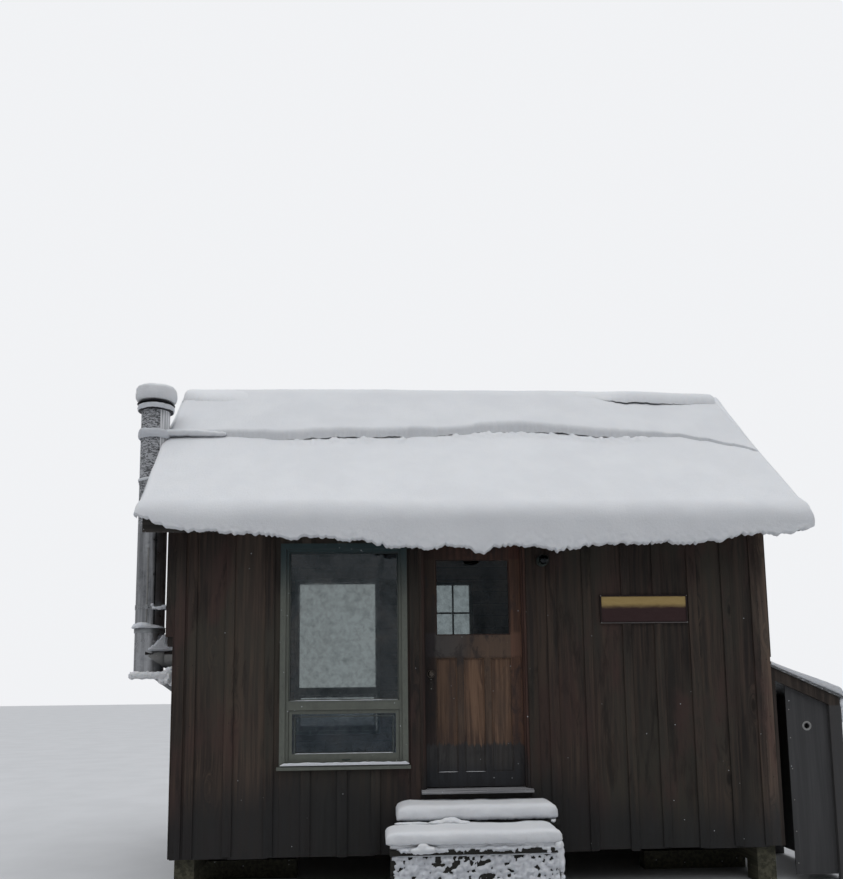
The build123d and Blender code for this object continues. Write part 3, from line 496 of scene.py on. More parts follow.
def makeDoorWood(name):  # warm panels, greyer rails, a dark stile, and damp black wood with a ragged edge
    made, tree, shader, place = newMaterial(name)
    low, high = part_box("door_leaf")
    tone = addNode(tree, "ShaderNodeAttribute", attribute_name="tone").outputs["Fac"]
    axes = axesOf(tree, place)
    opening = high.x - low.x - 2 * door["stile"]
    start = low.x + door["stile"]
    number = calc(tree, "FLOOR", calc(tree, "DIVIDE", minus(tree, axes[0], start), opening / 3))
    number = times(tree, number, calc(tree, "LESS_THAN", axes[2], door["panelTop"] + 0.003))
    cut = plus(tree, times(tree, number, 0.37), tone)
    grain = useGroup(tree, "grain", {"Position": place, "Tone": cut, "Knots": 0.35})
    colour = colourRamp(tree, spread(tree, grain["Streaks"], 0.33, 0.67, 0.08, 0.92), [
        (0.0, (0.050, 0.026, 0.016)), (0.5, (0.116, 0.065, 0.039)), (1.0, (0.185, 0.110, 0.070))])
    weather = spread(tree, stretchedNoise(tree, place, (5, 5, 1.6), 5.0, 0.6), 0.46, 0.68)
    colour = blendColour(tree, times(tree, weather, 0.45), colour, (0.058, 0.043, 0.036))
    shadow = spread(tree, axes[0], low.x + 0.12, low.x + 0.30, 0.62, 1.04)
    colour = blendColour(tree, 1.0, colour, grey(tree, shadow), "MULTIPLY")

    def between(value, a, b):
        return times(tree, spread(tree, value, a - 0.004, a + 0.004),
                     spread(tree, value, b + 0.004, b - 0.004))

    width = (opening - 2 * door["mullion"]) / 3
    panelsOnly = 0.0
    for k in range(3):
        left = start + k * (width + door["mullion"])
        panelsOnly = plus(tree, panelsOnly, between(axes[0], left, left + width))
    panelsOnly = times(tree, panelsOnly, between(axes[2], door["panelBottom"], door["panelTop"]))
    railed = blendColour(tree, 1.0, colour, (0.60, 0.66, 0.72), "MULTIPLY")
    colour = blendColour(tree, panelsOnly, railed, colour)
    upper = spread(tree, axes[2], 1.83, 1.86)
    lockRail = times(tree, upper, spread(tree, axes[2], 2.06, 2.02))
    greyEnd = times(tree, lockRail, spread(tree, axes[0], low.x + 0.42, low.x + 0.22, 0.15, 0.75))
    colour = blendColour(tree, greyEnd, colour, (0.066, 0.063, 0.062))
    warmEnd = times(tree, lockRail, spread(tree, axes[0], low.x + 0.30, low.x + 0.52, 0.0, 0.55))
    colour = blendColour(tree, warmEnd, colour, (0.125, 0.078, 0.053))
    smudge = stretchedNoise(tree, place, (10, 10, 5), 5.0, 0.7, 0.6, shift=(2, 0, 1))
    smudge = times(tree, spread(tree, smudge, 0.52, 0.66), 0.75)
    colour = blendColour(tree, times(tree, smudge, spread(tree, panelsOnly, 1.0, 0.0, 0.35, 1.0)), colour,
                         (0.022, 0.018, 0.018))
    edge = plus(tree, axes[0], times(tree, noiseAt(tree, stretch(tree, place, (1, 1, 3)), 4.0), 0.03))
    stile = times(tree, spread(tree, edge, low.x + 0.120, low.x + 0.090),
                  spread(tree, axes[2], 2.30, 1.95, 0.35, 1.0))
    colour = tinted(tree, stile, colour, (0.30, 0.25, 0.29))
    rightStile = times(tree, spread(tree, axes[0], high.x - 0.100, high.x - 0.096), 0.9)
    colour = tinted(tree, rightStile, colour, (1.25, 0.98, 0.92))
    topRail = spread(tree, axes[2], 2.640, 2.665)
    colour = tinted(tree, topRail, colour, (0.74, 0.58, 0.62))
    ragged = stretchedNoise(tree, place, (34, 34, 2.0), 5.0, 0.7)
    broad = stretchedNoise(tree, place, (7, 7, 0.6), 2.0)
    line = minus(tree, axes[2], plus(tree, times(tree, ragged, 0.16), times(tree, broad, 0.07)))
    drips = times(tree, spread(tree, line, 1.24, 1.03), spread(tree, ragged, 0.36, 0.66))
    colour = blendColour(tree, times(tree, drips, 0.80), colour, (0.030, 0.018, 0.016))
    damp = spread(tree, line, 1.035, 1.005)
    deep = spread(tree, axes[2], 1.02, 0.90)
    dampAndShade = blendColour(tree, deep, (0.040, 0.039, 0.038), (0.023, 0.026, 0.030))
    dampAndShade = blendColour(tree, times(tree, spread(tree, grain["Streaks"], 0.40, 0.64), 0.60), dampAndShade,
                      (0.014, 0.014, 0.015))
    dampAndShade = blendColour(tree, times(tree, smudge, 0.7), dampAndShade, (0.012, 0.012, 0.014))
    dampAndShade = blendColour(tree, panelsOnly, blendColour(tree, 1.0, dampAndShade, (0.78, 0.78, 0.82), "MULTIPLY"), dampAndShade)
    colour = blendColour(tree, times(tree, damp, 0.94), colour, dampAndShade)
    wear = useGroup(tree, "wear", {"Position": place, "Scale": 22.0, "Reach": 0.004})
    colour = blendColour(tree, times(tree, wear["Edge"], 0.30), colour, (0.15, 0.11, 0.085))
    blown = useGroup(tree, "frost", {"Position": place, "Size": 95.0, "Amount": 0.008, "Patches": 2.3})
    colour = blendColour(tree, blown["Flecks"], colour, (0.40, 0.41, 0.43))
    setInputs(tree, shader, {
        "Base Color": colour, "Roughness": spread(tree, grain["Streaks"], 0.3, 0.7, 0.52, 0.74),
        "Specular IOR Level": 0.3, "Coat Weight": 0.05, "Coat Roughness": 0.4,
    })
    setBump(tree, shader, grain["Height"], 0.5, 0.0015)
    return made


def makeSignPaint(name):  # an ochre band that fades into dark red, in a narrow dark frame
    made, tree, shader, place = newMaterial(name)
    low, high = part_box("sign_board")
    axes = axesOf(tree, place)
    cloud = stretchedNoise(tree, place, (9, 9, 34), 6.0, 0.75)
    level = plus(tree, axes[2], times(tree, cloud, 0.030))
    ochre = blendColour(tree, cloud, (0.33, 0.225, 0.075), (0.50, 0.37, 0.17))
    red = blendColour(tree, cloud, (0.034, 0.016, 0.017), (0.062, 0.038, 0.038))
    paint = blendColour(tree, spread(tree, level, high.z - 0.100, high.z - 0.050), red, ochre)
    middle = (low + high) / 2
    aside = calc(tree, "ABSOLUTE", minus(tree, axes[0], middle.x))
    above = calc(tree, "ABSOLUTE", minus(tree, axes[2], middle.z))
    rim = calc(tree, "MAXIMUM", calc(tree, "GREATER_THAN", aside, middle.x - low.x - 0.0122),
               calc(tree, "GREATER_THAN", above, middle.z - low.z - 0.0122))
    wear = useGroup(tree, "wear", {"Position": place, "Scale": 40.0})
    rimTone = blendColour(tree, spread(tree, axes[2], low.z + 0.007, low.z + 0.004), (0.026, 0.018, 0.018),
                          (0.130, 0.120, 0.118))
    paint = blendColour(tree, rim, paint, rimTone)
    paint = blendColour(tree, times(tree, wear["Edge"], 0.15), paint, (0.15, 0.13, 0.12))
    rough = spread(tree, cloud, 0.3, 0.7, 0.5, 0.7)
    setInputs(tree, shader, {"Base Color": paint, "Roughness": rough, "Specular IOR Level": 0.12})
    setBump(tree, shader, cloud, 0.2, 0.001)
    return made


def makeSnow(name, colour, shade, lumps=0.010, sparkle=0.0012):
    made, tree, shader, place = newMaterial(name)
    broad = noiseAt(tree, place, 2.4, 4.0)
    fine = noiseAt(tree, place, 55.0, 5.0, 0.7)
    crumbs = noiseAt(tree, place, 260.0, 3.0, 0.7)
    # painted shade in creases: the colour goes to the shade colour where Pointiness is low, and at random in
    # broad patches
    depth = plus(tree, times(tree, spread(tree, broad, 0.3, 0.7), 0.5),
                 times(tree, spread(tree, geometry(tree, "Pointiness"), 0.42, 0.54), 0.5))
    tone = blendColour(tree, depth, shade, colour)
    # painted shade: steep faces are darkened
    steepShade = spread(tree, axesOf(tree, geometry(tree, "Normal"))[2], 0.62, 0.10)
    tone = blendColour(tree, times(tree, steepShade, 0.07), tone, (0.0, 0.0, 0.004))
    # painted shade in hollows and cracks, from ambient occlusion
    clear = addNode(tree, "ShaderNodeAmbientOcclusion", {"Distance": 0.09}, samples=8).outputs["AO"]
    tone = blendColour(tree, spread(tree, clear, 0.20, 0.80, 0.62, 0.0), tone, (0.13, 0.14, 0.16))
    bumpCoarse = addNode(tree, "ShaderNodeBump", {"Height": fine, "Strength": 0.35, "Distance": lumps})
    bumpFine = addNode(tree, "ShaderNodeBump", {
        "Height": crumbs, "Strength": 0.5, "Distance": sparkle, "Normal": bumpCoarse.outputs[0],
    })
    setInputs(tree, shader, {
        "Base Color": tone, "Roughness": spread(tree, fine, 0.3, 0.7, 0.78, 0.96), "Specular IOR Level": 0.2,
        "Subsurface Weight": 0.15, "Subsurface Radius": (0.02, 0.025, 0.03), "Subsurface Scale": 0.4,
        "Normal": bumpFine.outputs[0],
    })
    return made


def makePaint(name, colour, shadedTopColour=None, topBand=(2.2, 2.8), chips=(0.10, 0.085, 0.07), frost=0.05):
    made, tree, shader, place = newMaterial(name)
    wear = useGroup(tree, "wear", {"Position": place, "Scale": 26.0})
    base = grey(tree, spread(tree, wear["Blotch"], 0.3, 0.7, 0.84, 1.06))
    tint = colour
    if shadedTopColour:  # painted shade under the eave: the paint goes darker towards the top
        height = axesOf(tree, place)[2]
        wander = times(tree, stretchedNoise(tree, place, (8, 8, 1.2), 3.0), 0.3)
        dampAndShade = spread(tree, plus(tree, height, wander), topBand[0] + 0.15, topBand[1] + 0.15)
        tint = blendColour(tree, dampAndShade, colour, shadedTopColour)
    paint = blendColour(tree, 1.0, base, tint, "MULTIPLY")
    paint = blendColour(tree, times(tree, wear["Edge"], 0.8), paint, chips)
    grime = spread(tree, stretchedNoise(tree, place, (5, 5, 1.0), 5.0, 0.7), 0.52, 0.74)
    paint = blendColour(tree, times(tree, grime, 0.45), paint, dimmed(colour, 0.4))
    blown = useGroup(tree, "frost", {"Position": place, "Size": 90.0, "Amount": frost, "Patches": 4.0})
    paint = blendColour(tree, blown["Flecks"], paint, (0.5, 0.52, 0.55))
    setInputs(tree, shader,
              {"Base Color": paint, "Roughness": spread(tree, wear["Blotch"], 0.3, 0.7, 0.40, 0.65)})
    brush = stretchedNoise(tree, place, (140, 140, 9), 3.0)
    setBump(tree, shader, plus(tree, brush, times(tree, blown["Height"], 1.5)), 0.25, 0.001)
    return made


def makeGlass(name, tint, roughness=0.02, bend=1.45, dimBelow=None, dullBelow=None):
    made, tree, shader, place = newMaterial(name)
    haze = noiseAt(tree, place, 5.0, 5.0, 0.7)
    dirt = stretchedNoise(tree, place, (16, 16, 15), 8.0, 0.78, 0.25, shift=(3, 1, 5))
    dusty = times(tree, spread(tree, dirt, 0.44, 0.66), 0.62)
    colour = blendColour(tree, dusty, tint, dimmed(tint, 0.45))
    if dimBelow:
        level = axesOf(tree, place)[2]
        colour = blendColour(tree, spread(tree, level, dimBelow + 0.01, dimBelow - 0.01), colour,
                             (0.05, 0.055, 0.06))
    smear = stretchedNoise(tree, place, (3.2, 3.2, 2.2), 7.0, 0.72, 1.2)
    sheen = colourRamp(tree, smear, [(0.36, (0.40, 0.47, 0.51)), (0.50, (0.80, 0.88, 0.95)),
                                     (0.64, (1.0, 1.0, 1.0))])
    if dullBelow:
        level = axesOf(tree, place)[2]
        dull = spread(tree, level, dullBelow + 0.01, dullBelow - 0.01)
        sheen = tinted(tree, dull, sheen, (0.42, 0.45, 0.48))
    setInputs(tree, shader, {
        "Base Color": colour, "Roughness": spread(tree, haze, 0.45, 0.75, roughness, roughness + 0.06),
        "Specular Tint": sheen, "Transmission Weight": 1.0, "IOR": bend,
    })
    setBump(tree, shader, noiseAt(tree, place, 2.6, 2.0), 0.03, 0.004)
    return made


def makeMetal(name, colour, roughness, frost=0.0, stain=(0.12, 0.12, 0.12), streaks=0.0, frostAbove=None):
    made, tree, shader, place = newMaterial(name)
    smear = stretchedNoise(tree, place, (26, 26, 1.0), 4.0, 0.6)
    blotch = noiseAt(tree, place, 9.0, 5.0, 0.65)
    dirty = plus(tree, times(tree, spread(tree, blotch, 0.48, 0.72), 0.5),
                 times(tree, spread(tree, smear, 0.44, 0.64), streaks))
    tone = blendColour(tree, times(tree, dirty, 0.8), colour, stain)
    height = times(tree, blotch, 0.3)
    metallic = spread(tree, dirty, 0.2, 1.0, 1.0, 0.75)
    rough = spread(tree, blotch, 0.3, 0.7, roughness - 0.08, roughness + 0.15)
    if frost:  # rime that sticks in small broken patches
        crust = stretchedNoise(tree, place, (24, 24, 74), 3.0, 0.62, 1.4)
        cover = spread(tree, crust, 0.66 - frost * 0.2, 0.72 - frost * 0.2)
        if frostAbove:  # the frosted part turns dark between the crumbs, but for one frost-free strip on its side that is painted bright as a highlight, with a painted shadow line beside it
            level = axesOf(tree, place)[2]
            frosted = spread(tree, level, frostAbove[0], frostAbove[1])
            side = axesOf(tree, geometry(tree, "True Normal"))[0]
            frostFreeHighlight = times(tree, frosted, spread(tree, side, 0.50, 0.58))
            frosted = times(tree, frosted, spread(tree, side, 0.56, 0.48))
            cover = times(tree, cover, frosted)
            tone = blendColour(tree, frosted, tone, (0.085, 0.088, 0.094))
            highlightStreaks = spread(tree, stretchedNoise(tree, place, (70, 70, 2), 2.0), 0.40, 0.62)
            tone = blendColour(tree, frostFreeHighlight, tone, blendColour(tree, highlightStreaks, (0.44, 0.45, 0.47),
                                                             (0.90, 0.90, 0.92)))
            shadowLine = times(tree, spread(tree, side, 0.42, 0.46), spread(tree, side, 0.55, 0.52))
            tone = blendColour(tree, times(tree, shadowLine, 0.85), tone, (0.02, 0.02, 0.024))
            dulled = times(tree, calc(tree, "MAXIMUM", frosted, frostFreeHighlight), 0.85)
            metallic = times(tree, metallic, minus(tree, 1.0, dulled))
        tone = blendColour(tree, cover, tone, (0.47, 0.48, 0.505))
        metallic = times(tree, metallic, minus(tree, 1.0, cover))
        rough = calc(tree, "ADD", times(tree, cover, 0.5), rough, clamp=True)
        height = plus(tree, height, times(tree, cover, 3.0))
    setInputs(tree, shader, {"Base Color": tone, "Metallic": metallic, "Roughness": rough})
    setBump(tree, shader, height, 0.35, 0.0015)
    return made


woodTones = {
    "siding": [(0.012, 0.0085, 0.0072), (0.036, 0.0255, 0.0205), (0.072, 0.050, 0.038)],
    "olive": (0.040, 0.037, 0.029),
    "red": (0.058, 0.031, 0.027),
    "black": (0.0165, 0.0172, 0.018),
    # painted light and shade across the front wall: darker right of the door, much lighter at the right
    # corner
    "paintedLightAlong": [(-2.5, 1.08), (-1.9, 1.18), (-0.5, 0.92), (0.5, 0.74), (1.0, 0.98), (2.15, 1.06), (2.4, 1.80)],
}
materials = {
    "siding": makeWood("stainedSiding", woodTones["siding"], knots=1.0,
                       blackBelow=(0.56, 0.98, woodTones["black"]), blackSinks=0.26, frost=0.005,
                       greyTint=woodTones["olive"], redTint=woodTones["red"], worn=(0.085, 0.070, 0.058),
                       boardContrast=0.55, paintedLightAlong=woodTones["paintedLightAlong"]),
    "roofTimber": makeWood("weatheredTimber", [(0.020, 0.018, 0.016), (0.060, 0.053, 0.047),
                                               (0.110, 0.098, 0.086)],
                           along="X", knots=0.6, frost=0.05, worn=(0.15, 0.135, 0.12)),
    "rafterTimber": makeWood("rafterPine", [(0.10, 0.060, 0.032), (0.20, 0.125, 0.070), (0.31, 0.205, 0.12)],
                             along="Y", knots=0.8),
    "crib": makeWood("cribTimber", [(0.034, 0.033, 0.021), (0.086, 0.082, 0.056), (0.150, 0.142, 0.098)],
                     along="Y", knots=0.5, frost=0.05, worn=(0.18, 0.17, 0.13)),
    "floor": makeWood("floorBoards", [(0.055, 0.033, 0.020), (0.120, 0.075, 0.045), (0.19, 0.125, 0.078)],
                      along="X", knots=0.5, roughness=0.55),
    "door": makeDoorWood("doorFir"),
    # the door frame is painted darker on its left side, as painted shade
    "doorFrame": makeWood("doorFrameStain", [(0.030, 0.0148, 0.0112), (0.088, 0.046, 0.035),
                                             (0.146, 0.082, 0.062)],
                          knots=0.2, blackBelow=(0.92, 1.14, (0.022, 0.021, 0.022)), frost=0.006,
                          roughness=0.6, paintedLightAlong=[(-0.5, 0.45), (-0.1, 0.6), (0.2, 1.0), (0.5, 1.0)]),
    "threshold": makeWood("greyThreshold", [(0.17, 0.17, 0.18), (0.30, 0.30, 0.31), (0.42, 0.42, 0.43)],
                          along="X", knots=0.1, frost=0.3, worn=(0.55, 0.55, 0.56)),
    "plywood": makeWood("greyPanel", [(0.048, 0.048, 0.050), (0.063, 0.063, 0.065), (0.082, 0.082, 0.084)],
                        knots=0.25, frost=0.008, bump=0.3),
    # the lean-to timbers are darkened by a listed factor along x, as painted shade
    "leanTimber": makeWood("leanTimber", [(0.030, 0.022, 0.018), (0.074, 0.057, 0.047),
                                          (0.125, 0.101, 0.085)],
                           along="Z", knots=0.5, frost=0.01, worn=(0.16, 0.14, 0.12),
                           greyBeyond=(2.880, 1.420, (0.056, 0.056, 0.058)),
                           paintedLightAlong=[(-2.5, 1.0), (2.40, 0.70), (2.5, 0.70)]),
    # painted shade: the step timbers are near black, for the shade under the snow on them
    "stepTimber": makeWood("shadedStepTimber", [(0.008, 0.008, 0.007), (0.022, 0.021, 0.018),
                                              (0.045, 0.043, 0.037)],
                           along="X", knots=0.3),
    "sign": makeSignPaint("signPaint"),
    # the sash paints turn to a painted shade colour towards the top, under the eave
    "sash": makePaint("sagePaint", (0.118, 0.128, 0.108), shadedTopColour=(0.017, 0.038, 0.042),
                      topBand=(2.25, 2.72)),
    "sashTrim": makePaint("sageTrim", (0.075, 0.086, 0.076), shadedTopColour=(0.015, 0.030, 0.033),
                          topBand=(2.25, 2.72)),
    "seal": makePaint("darkSeal", (0.006, 0.0065, 0.0065), frost=0.0),
    "snow": makeSnow("roofSnow", (0.80, 0.815, 0.84), (0.72, 0.735, 0.765)),
    "upperSnow": makeSnow("upperRoofSnow", (0.765, 0.78, 0.805), (0.685, 0.70, 0.73)),
    "crust": makeSnow("crustedSnow", (0.76, 0.78, 0.82), (0.54, 0.56, 0.60), lumps=0.02, sparkle=0.003),
    "capSnow": makeSnow("cappedSnow", (0.92, 0.93, 0.95), (0.74, 0.75, 0.78), lumps=0.04, sparkle=0.005),
    "glass": makeGlass("windowGlass", (0.84, 0.90, 0.90), bend=1.75, dullBelow=1.45),
    "backGlass": makeGlass("backWindowGlass", (0.84, 0.90, 0.90), dimBelow=1.45),
    "doorGlass": makeGlass("doorPane", (0.80, 0.88, 0.90), bend=1.40),
    "jar": makeGlass("lampJar", (0.26, 0.34, 0.30), 0.25),
    "flue": makeMetal("stainlessFlue", (0.48, 0.49, 0.51), 0.34, stain=(0.14, 0.145, 0.155), frost=1.0,
                      streaks=0.8, frostAbove=(2.95, 3.1)),
    "fluePlain": makeMetal("fluePipeSteel", (0.50, 0.51, 0.53), 0.32, stain=(0.14, 0.145, 0.155), frost=0.30,
                           streaks=0.8),
    # painted shade: the cap is near black, for the shaded gap between the snow on it and the snow round the
    # pipe
    "flueCap": makeMetal("capPaintedShade", (0.050, 0.050, 0.055), 0.5),
    "bracket": makeMetal("galvanizedSteel", (0.30, 0.31, 0.32), 0.45, frost=0.3),
    "lampMetal": makeMetal("lampMetal", (0.075, 0.092, 0.084), 0.45),
    "knob": makeMetal("wornNickel", (0.105, 0.090, 0.078), 0.28, stain=(0.04, 0.03, 0.026)),
    "hinge": makeMetal("hingeSteel", (0.34, 0.33, 0.31), 0.42),
    "nail": makeMetal("dullNails", (0.045, 0.040, 0.037), 0.6),
    "sleeve": makePaint("dullZinc", (0.25, 0.25, 0.245), chips=(0.34, 0.34, 0.34), frost=0.02),
    "sheet": makeMetal("roofSheet", (0.16, 0.165, 0.17), 0.5, frost=0.5),
}


def makeWallBoards():  # dark outside, brown lining inside, with a joint at each lining board
    made, tree, shader, place = newMaterial("wallLining")
    axes = axesOf(tree, place)
    inX = spread(tree, calc(tree, "ABSOLUTE", axes[0]), cabin["right"] - 0.10, cabin["right"] - 0.11)
    inY = spread(tree, calc(tree, "ABSOLUTE", axes[1]), cabin["back"] - 0.10, cabin["back"] - 0.11)
    inside = times(tree, inX, inY)
    boards = calc(tree, "DIVIDE", axes[2], 0.14)
    number = calc(tree, "FLOOR", boards)
    tone = addNode(tree, "ShaderNodeTexWhiteNoise", {"W": number}, noise_dimensions="1D").outputs["Value"]
    turned = stretch(tree, place, (1, 1, 1), (0, math.radians(90), 0))
    lining = useGroup(tree, "grain", {"Position": turned, "Tone": tone, "Knots": 1.0})
    pine = colourRamp(tree, plus(tree, lining["Streaks"], times(tree, tone, 0.2)), [
        (0.25, (0.050, 0.031, 0.022)), (0.6, (0.105, 0.068, 0.048)), (0.9, (0.165, 0.112, 0.078))])
    joint = times(tree, calc(tree, "LESS_THAN", calc(tree, "FRACT", boards), 0.045), inside)
    pine = blendColour(tree, joint, pine, (0.012, 0.008, 0.006))
    outer = useGroup(tree, "grain", {"Position": place, "Tone": 0.3, "Knots": 1.0})
    low, middle, high = woodTones["siding"]
    stained = colourRamp(tree, outer["Streaks"], [(0.3, low), (0.5, middle), (0.75, high)])
    colour = blendColour(tree, inside, stained, pine)
    setInputs(tree, shader,
              {"Base Color": colour, "Roughness": spread(tree, lining["Streaks"], 0.3, 0.7, 0.6, 0.8)})
    setBump(tree, shader, minus(tree, lining["Height"], times(tree, joint, 3.0)), 0.4, 0.002)
    return made


materials["wall"] = makeWallBoards()
print("materials made:", len(materials))


def dress(material, *names):
    for name in names:
        for slot in nodes[name].material_slots:
            slot.material = materials[material]


dress("wall", "front_wall_left", "front_wall_right", "front_wall_over_door", "back_wall", "left_wall",
      "right_wall", "door_skirt")
dress("crib", "cribs", "skids")
dress("stepTimber", "step_crib_upper", "step_crib_lower", "step_treads")
dress("rafterTimber", "rafters", "eave_blocking")
dress("floor", "floor_joists", "floor_deck", "ridge_board")
dress("roofTimber", "roof_sheathing_front", "roof_sheathing_back", "rake_boards_front", "rake_boards_back",
      "fascia_boards")
dress("siding", "corner_strip")
dress("sash", "window_frame", "window_sash", "back_window_frame", "back_window_sash", "small_window_frames")
dress("glass", "window_glass")
dress("backGlass", "back_window_glass")
dress("doorGlass", "door_glass")
dress("sign", "sign_board")
dress("door", "door_leaf")
dress("doorFrame", "door_jambs", "door_head")
dress("threshold", "door_threshold")
dress("knob", "door_knob", "knob_roses")
dress("hinge", "hinge_frame_halves", "hinge_door_halves")
dress("flue", "flue_pipe")
dress("fluePlain", "flue_tee", "flue_bands", "flue_roof_brace")
dress("flueCap", "flue_cap")
dress("bracket", "flue_wall_supports")
dress("lampMetal", "wall_light_base")
dress("jar", "wall_light_jar")
dress("leanTimber", "leanto_frames")
dress("plywood", "leanto_panels")
dress("sheet", "leanto_roof")


# Siding: wide boards with battens over their joints, uneven at the foot
siding = {
    "proud": 0.003,
    "batten": 0.075,
    "battenDepth": 0.019,
    "gap": 0.004,
    "footDrop": 0.016,
    "spacing": 0.30,
    "nailSpacing": 0.48,
    "corner": 0.037,
    "casingLap": 0.018,
    "cornerLap": 0.024,
    "overRoof": 5.0,
    "frontLines": [-2.401, -2.297, -1.998, -1.684, -1.392, -1.105, -0.832, -0.512, 0.448, 0.620, 0.915,
                   1.244, 1.511, 1.812, 2.090, 2.343, 2.401],
}


def openingBox(name):
    low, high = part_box(name)
    return (low.x, high.x, low.z, high.z)


def cutSpans(spans, low, high):
    made = []
    for a, b in spans:
        if high <= a or low >= b:
            made.append((a, b))
            continue
        if low > a:
            made.append((a, low))
        if high < b:
            made.append((high, b))
    return [(a, b) for a, b in made if b - a > 0.02]


def boardPieces(edges, holes, head, draw):  # (start, end, bottom, top) along one wall
    made = []
    for start, end in zip(edges[:-1], edges[1:]):
        drop = draw.uniform(0, siding["footDrop"])
        cuts = sorted({start, end, *[v for hole in holes for v in hole[:2] if start < v < end]})
        for a, b in zip(cuts[:-1], cuts[1:]):
            spans = [(cabin["skirt"] - drop, head)]
            for x0, x1, z0, z1 in holes:
                if x0 < (a + b) / 2 < x1:
                    spans = cutSpans(spans, z0, z1)
            left = a + (siding["gap"] / 2 if a == start else 0)
            right = b - (siding["gap"] / 2 if b == end else 0)
            made += [(left, right, low, high) for low, high in spans]
    return made


def addSiding(name, axis, side, lines, holes, battenHoles, seed):  # axis X for the gables, Y for the others
    draw = random.Random(seed)
    gable = axis == "X"
    across = ("left", "right") if gable else ("front", "back")
    along = ("front", "back") if gable else ("left", "right")
    face = cabin[across[0 if side < 0 else 1]]
    start, end = cabin[along[0]], cabin[along[1]]
    head = siding["overRoof"] if gable else cabin["plate"] - 0.004
    reach = siding["cornerLap"] if gable else 0.0

    def onWall(a, b, low, high, depth):
        inner, outer = sorted((face, face + side * depth))
        return ((inner, a, low), (outer, b, high)) if gable else ((a, inner, low), (b, outer, high))

    def finishStrips(obj, toneSeed, bevel, segments, smooth):
        for vertex in obj.data.vertices:  # heads on a gable follow the roof
            if vertex.co.z > cabin["plate"] + 1:
                vertex.co.z = underSheathing(vertex.co.y) - 0.003
        toneParts(obj, toneSeed)
        addBevel(obj, bevel, segments)
        finishPiece(obj, "siding", "siding", smooth=smooth)

    edges = sorted([start + 0.001, end - 0.001] + lines[1:-1] + ([0.0] if gable else []))
    boards = boardPieces(edges, holes, head, draw)
    boxes = [onWall(a, b, low, high, siding["proud"]) for a, b, low, high in boards]
    finishStrips(addBoxes(name + "Boards", boxes), seed, 0.0012, 1, 0)
    boxes = []
    for line in lines:
        half = siding["batten"] / 2 + draw.uniform(-0.003, 0.003)
        shift = 0.0 if gable else draw.uniform(-0.004, 0.004)
        a = max(line - half + shift, start - reach)
        b = min(line + half + shift, end + reach)
        spans = [(cabin["skirt"] - draw.uniform(-0.008, siding["footDrop"]), head)]
        for x0, x1, z0, z1 in holes + battenHoles:
            if x0 < b - 0.002 and x1 > a + 0.002:
                spans = cutSpans(spans, z0, z1)
        depth = siding["battenDepth"] + draw.uniform(-0.0015, 0.001)
        boxes += [onWall(a, b, low, high, depth) for low, high in spans]
    finishStrips(addBoxes(name + "Battens", boxes), seed + 50, 0.003, 2, 50)
    if gable:
        return
    nails = []
    for low, high in boxes:
        z = low[2] + 0.06
        while z < high[2] - 0.03:
            x = (low[0] + high[0]) / 2 + draw.uniform(-0.012, 0.012)
            nails.append((x, face + side * depth, z + draw.uniform(-0.01, 0.01)))
            z += siding["nailSpacing"]
    addPins(name + "Nails", nails, 0.004, 0.003, "nail", "siding", sides=8)


headLow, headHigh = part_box("door_head")
doorHole = (headLow.x, headHigh.x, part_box("door_threshold")[0].z, headHigh.z)
windowBox = openingBox("window_frame")
lap = siding["casingLap"]
frontHoles = [(windowBox[0] + lap, windowBox[1] - lap, windowBox[2], windowBox[3]), doorHole]
signBox = openingBox("sign_board")
addSiding("front", "Y", -1, siding["frontLines"], frontHoles, [signBox], 11)


def evenLines(low, high, spacing):
    count = round((high - low) / spacing)
    return [low + (high - low) * i / count for i in range(count + 1)]


backWindow = openingBox("back_window_frame")
smallLow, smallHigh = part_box("small_window_frames")
smallWidth = 0.502
backHoles = [
    (backWindow[0] + lap, backWindow[1] - lap, backWindow[2], backWindow[3]),
    (smallLow.x + lap, smallLow.x + lap + smallWidth, smallLow.z, smallHigh.z),
    (smallHigh.x - lap - smallWidth, smallHigh.x - lap, smallLow.z, smallHigh.z),
]
backLines = evenLines(cabin["left"] + siding["corner"], cabin["right"] - siding["corner"], siding["spacing"])
addSiding("back", "Y", 1, backLines, backHoles, [], 23)


flueLow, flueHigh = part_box("flue_pipe")
flueAxis = ((flueLow.x + flueHigh.x) / 2, (flueLow.y + flueHigh.y) / 2)
branchHeight = 1.865
leftLines = [cabin["front"] + siding["corner"], -1.174, flueAxis[1], -0.574, -0.287, 0.0, 0.30, 0.60, 0.90,
             1.20, cabin["back"] - siding["corner"]]
thimble = (flueAxis[1] - 0.165, flueAxis[1] + 0.165, 1.735, 2.035)
branchHole = (flueAxis[1] - 0.0765, flueAxis[1] + 0.0765, branchHeight - 0.0765, branchHeight + 0.0765)
addSiding("left", "X", -1, leftLines, [branchHole], [thimble], 31)
leanLow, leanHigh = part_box("leanto_frames")
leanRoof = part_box("leanto_roof")
rightLines = [cabin["front"] + 0.042, -1.20, -0.90, -0.60, -0.24, 0.0, 0.30, 0.60, 0.90, 1.20,
              cabin["back"] - siding["corner"]]
leanCut = (leanRoof[0].y, leanRoof[1].y, leanHigh.z - 0.15, leanRoof[1].z + 0.06)
addSiding("right", "X", 1, rightLines, [], [leanCut], 41)

# The strip on the left corner runs on up behind the fascia
stripLow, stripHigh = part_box("corner_strip")
addBoxPiece("cornerStripHead", [
    ((stripLow.x + 0.001, stripLow.y + 0.001, stripHigh.z - 0.001),
     (stripHigh.x, stripHigh.y - 0.001, 2.960)),
], "siding", "siding", bevel=0.001, segments=1, toneSeed=5, smooth=0)
addBoxPiece("cornerStripFoot", [
    ((stripLow.x + 0.012, stripLow.y + 0.020, stripLow.z - 0.078),
     (stripHigh.x, stripLow.y + 0.085, stripLow.z + 0.001)),
], "nail", "siding", bevel=0.002, segments=1, smooth=0)
print("siding done")


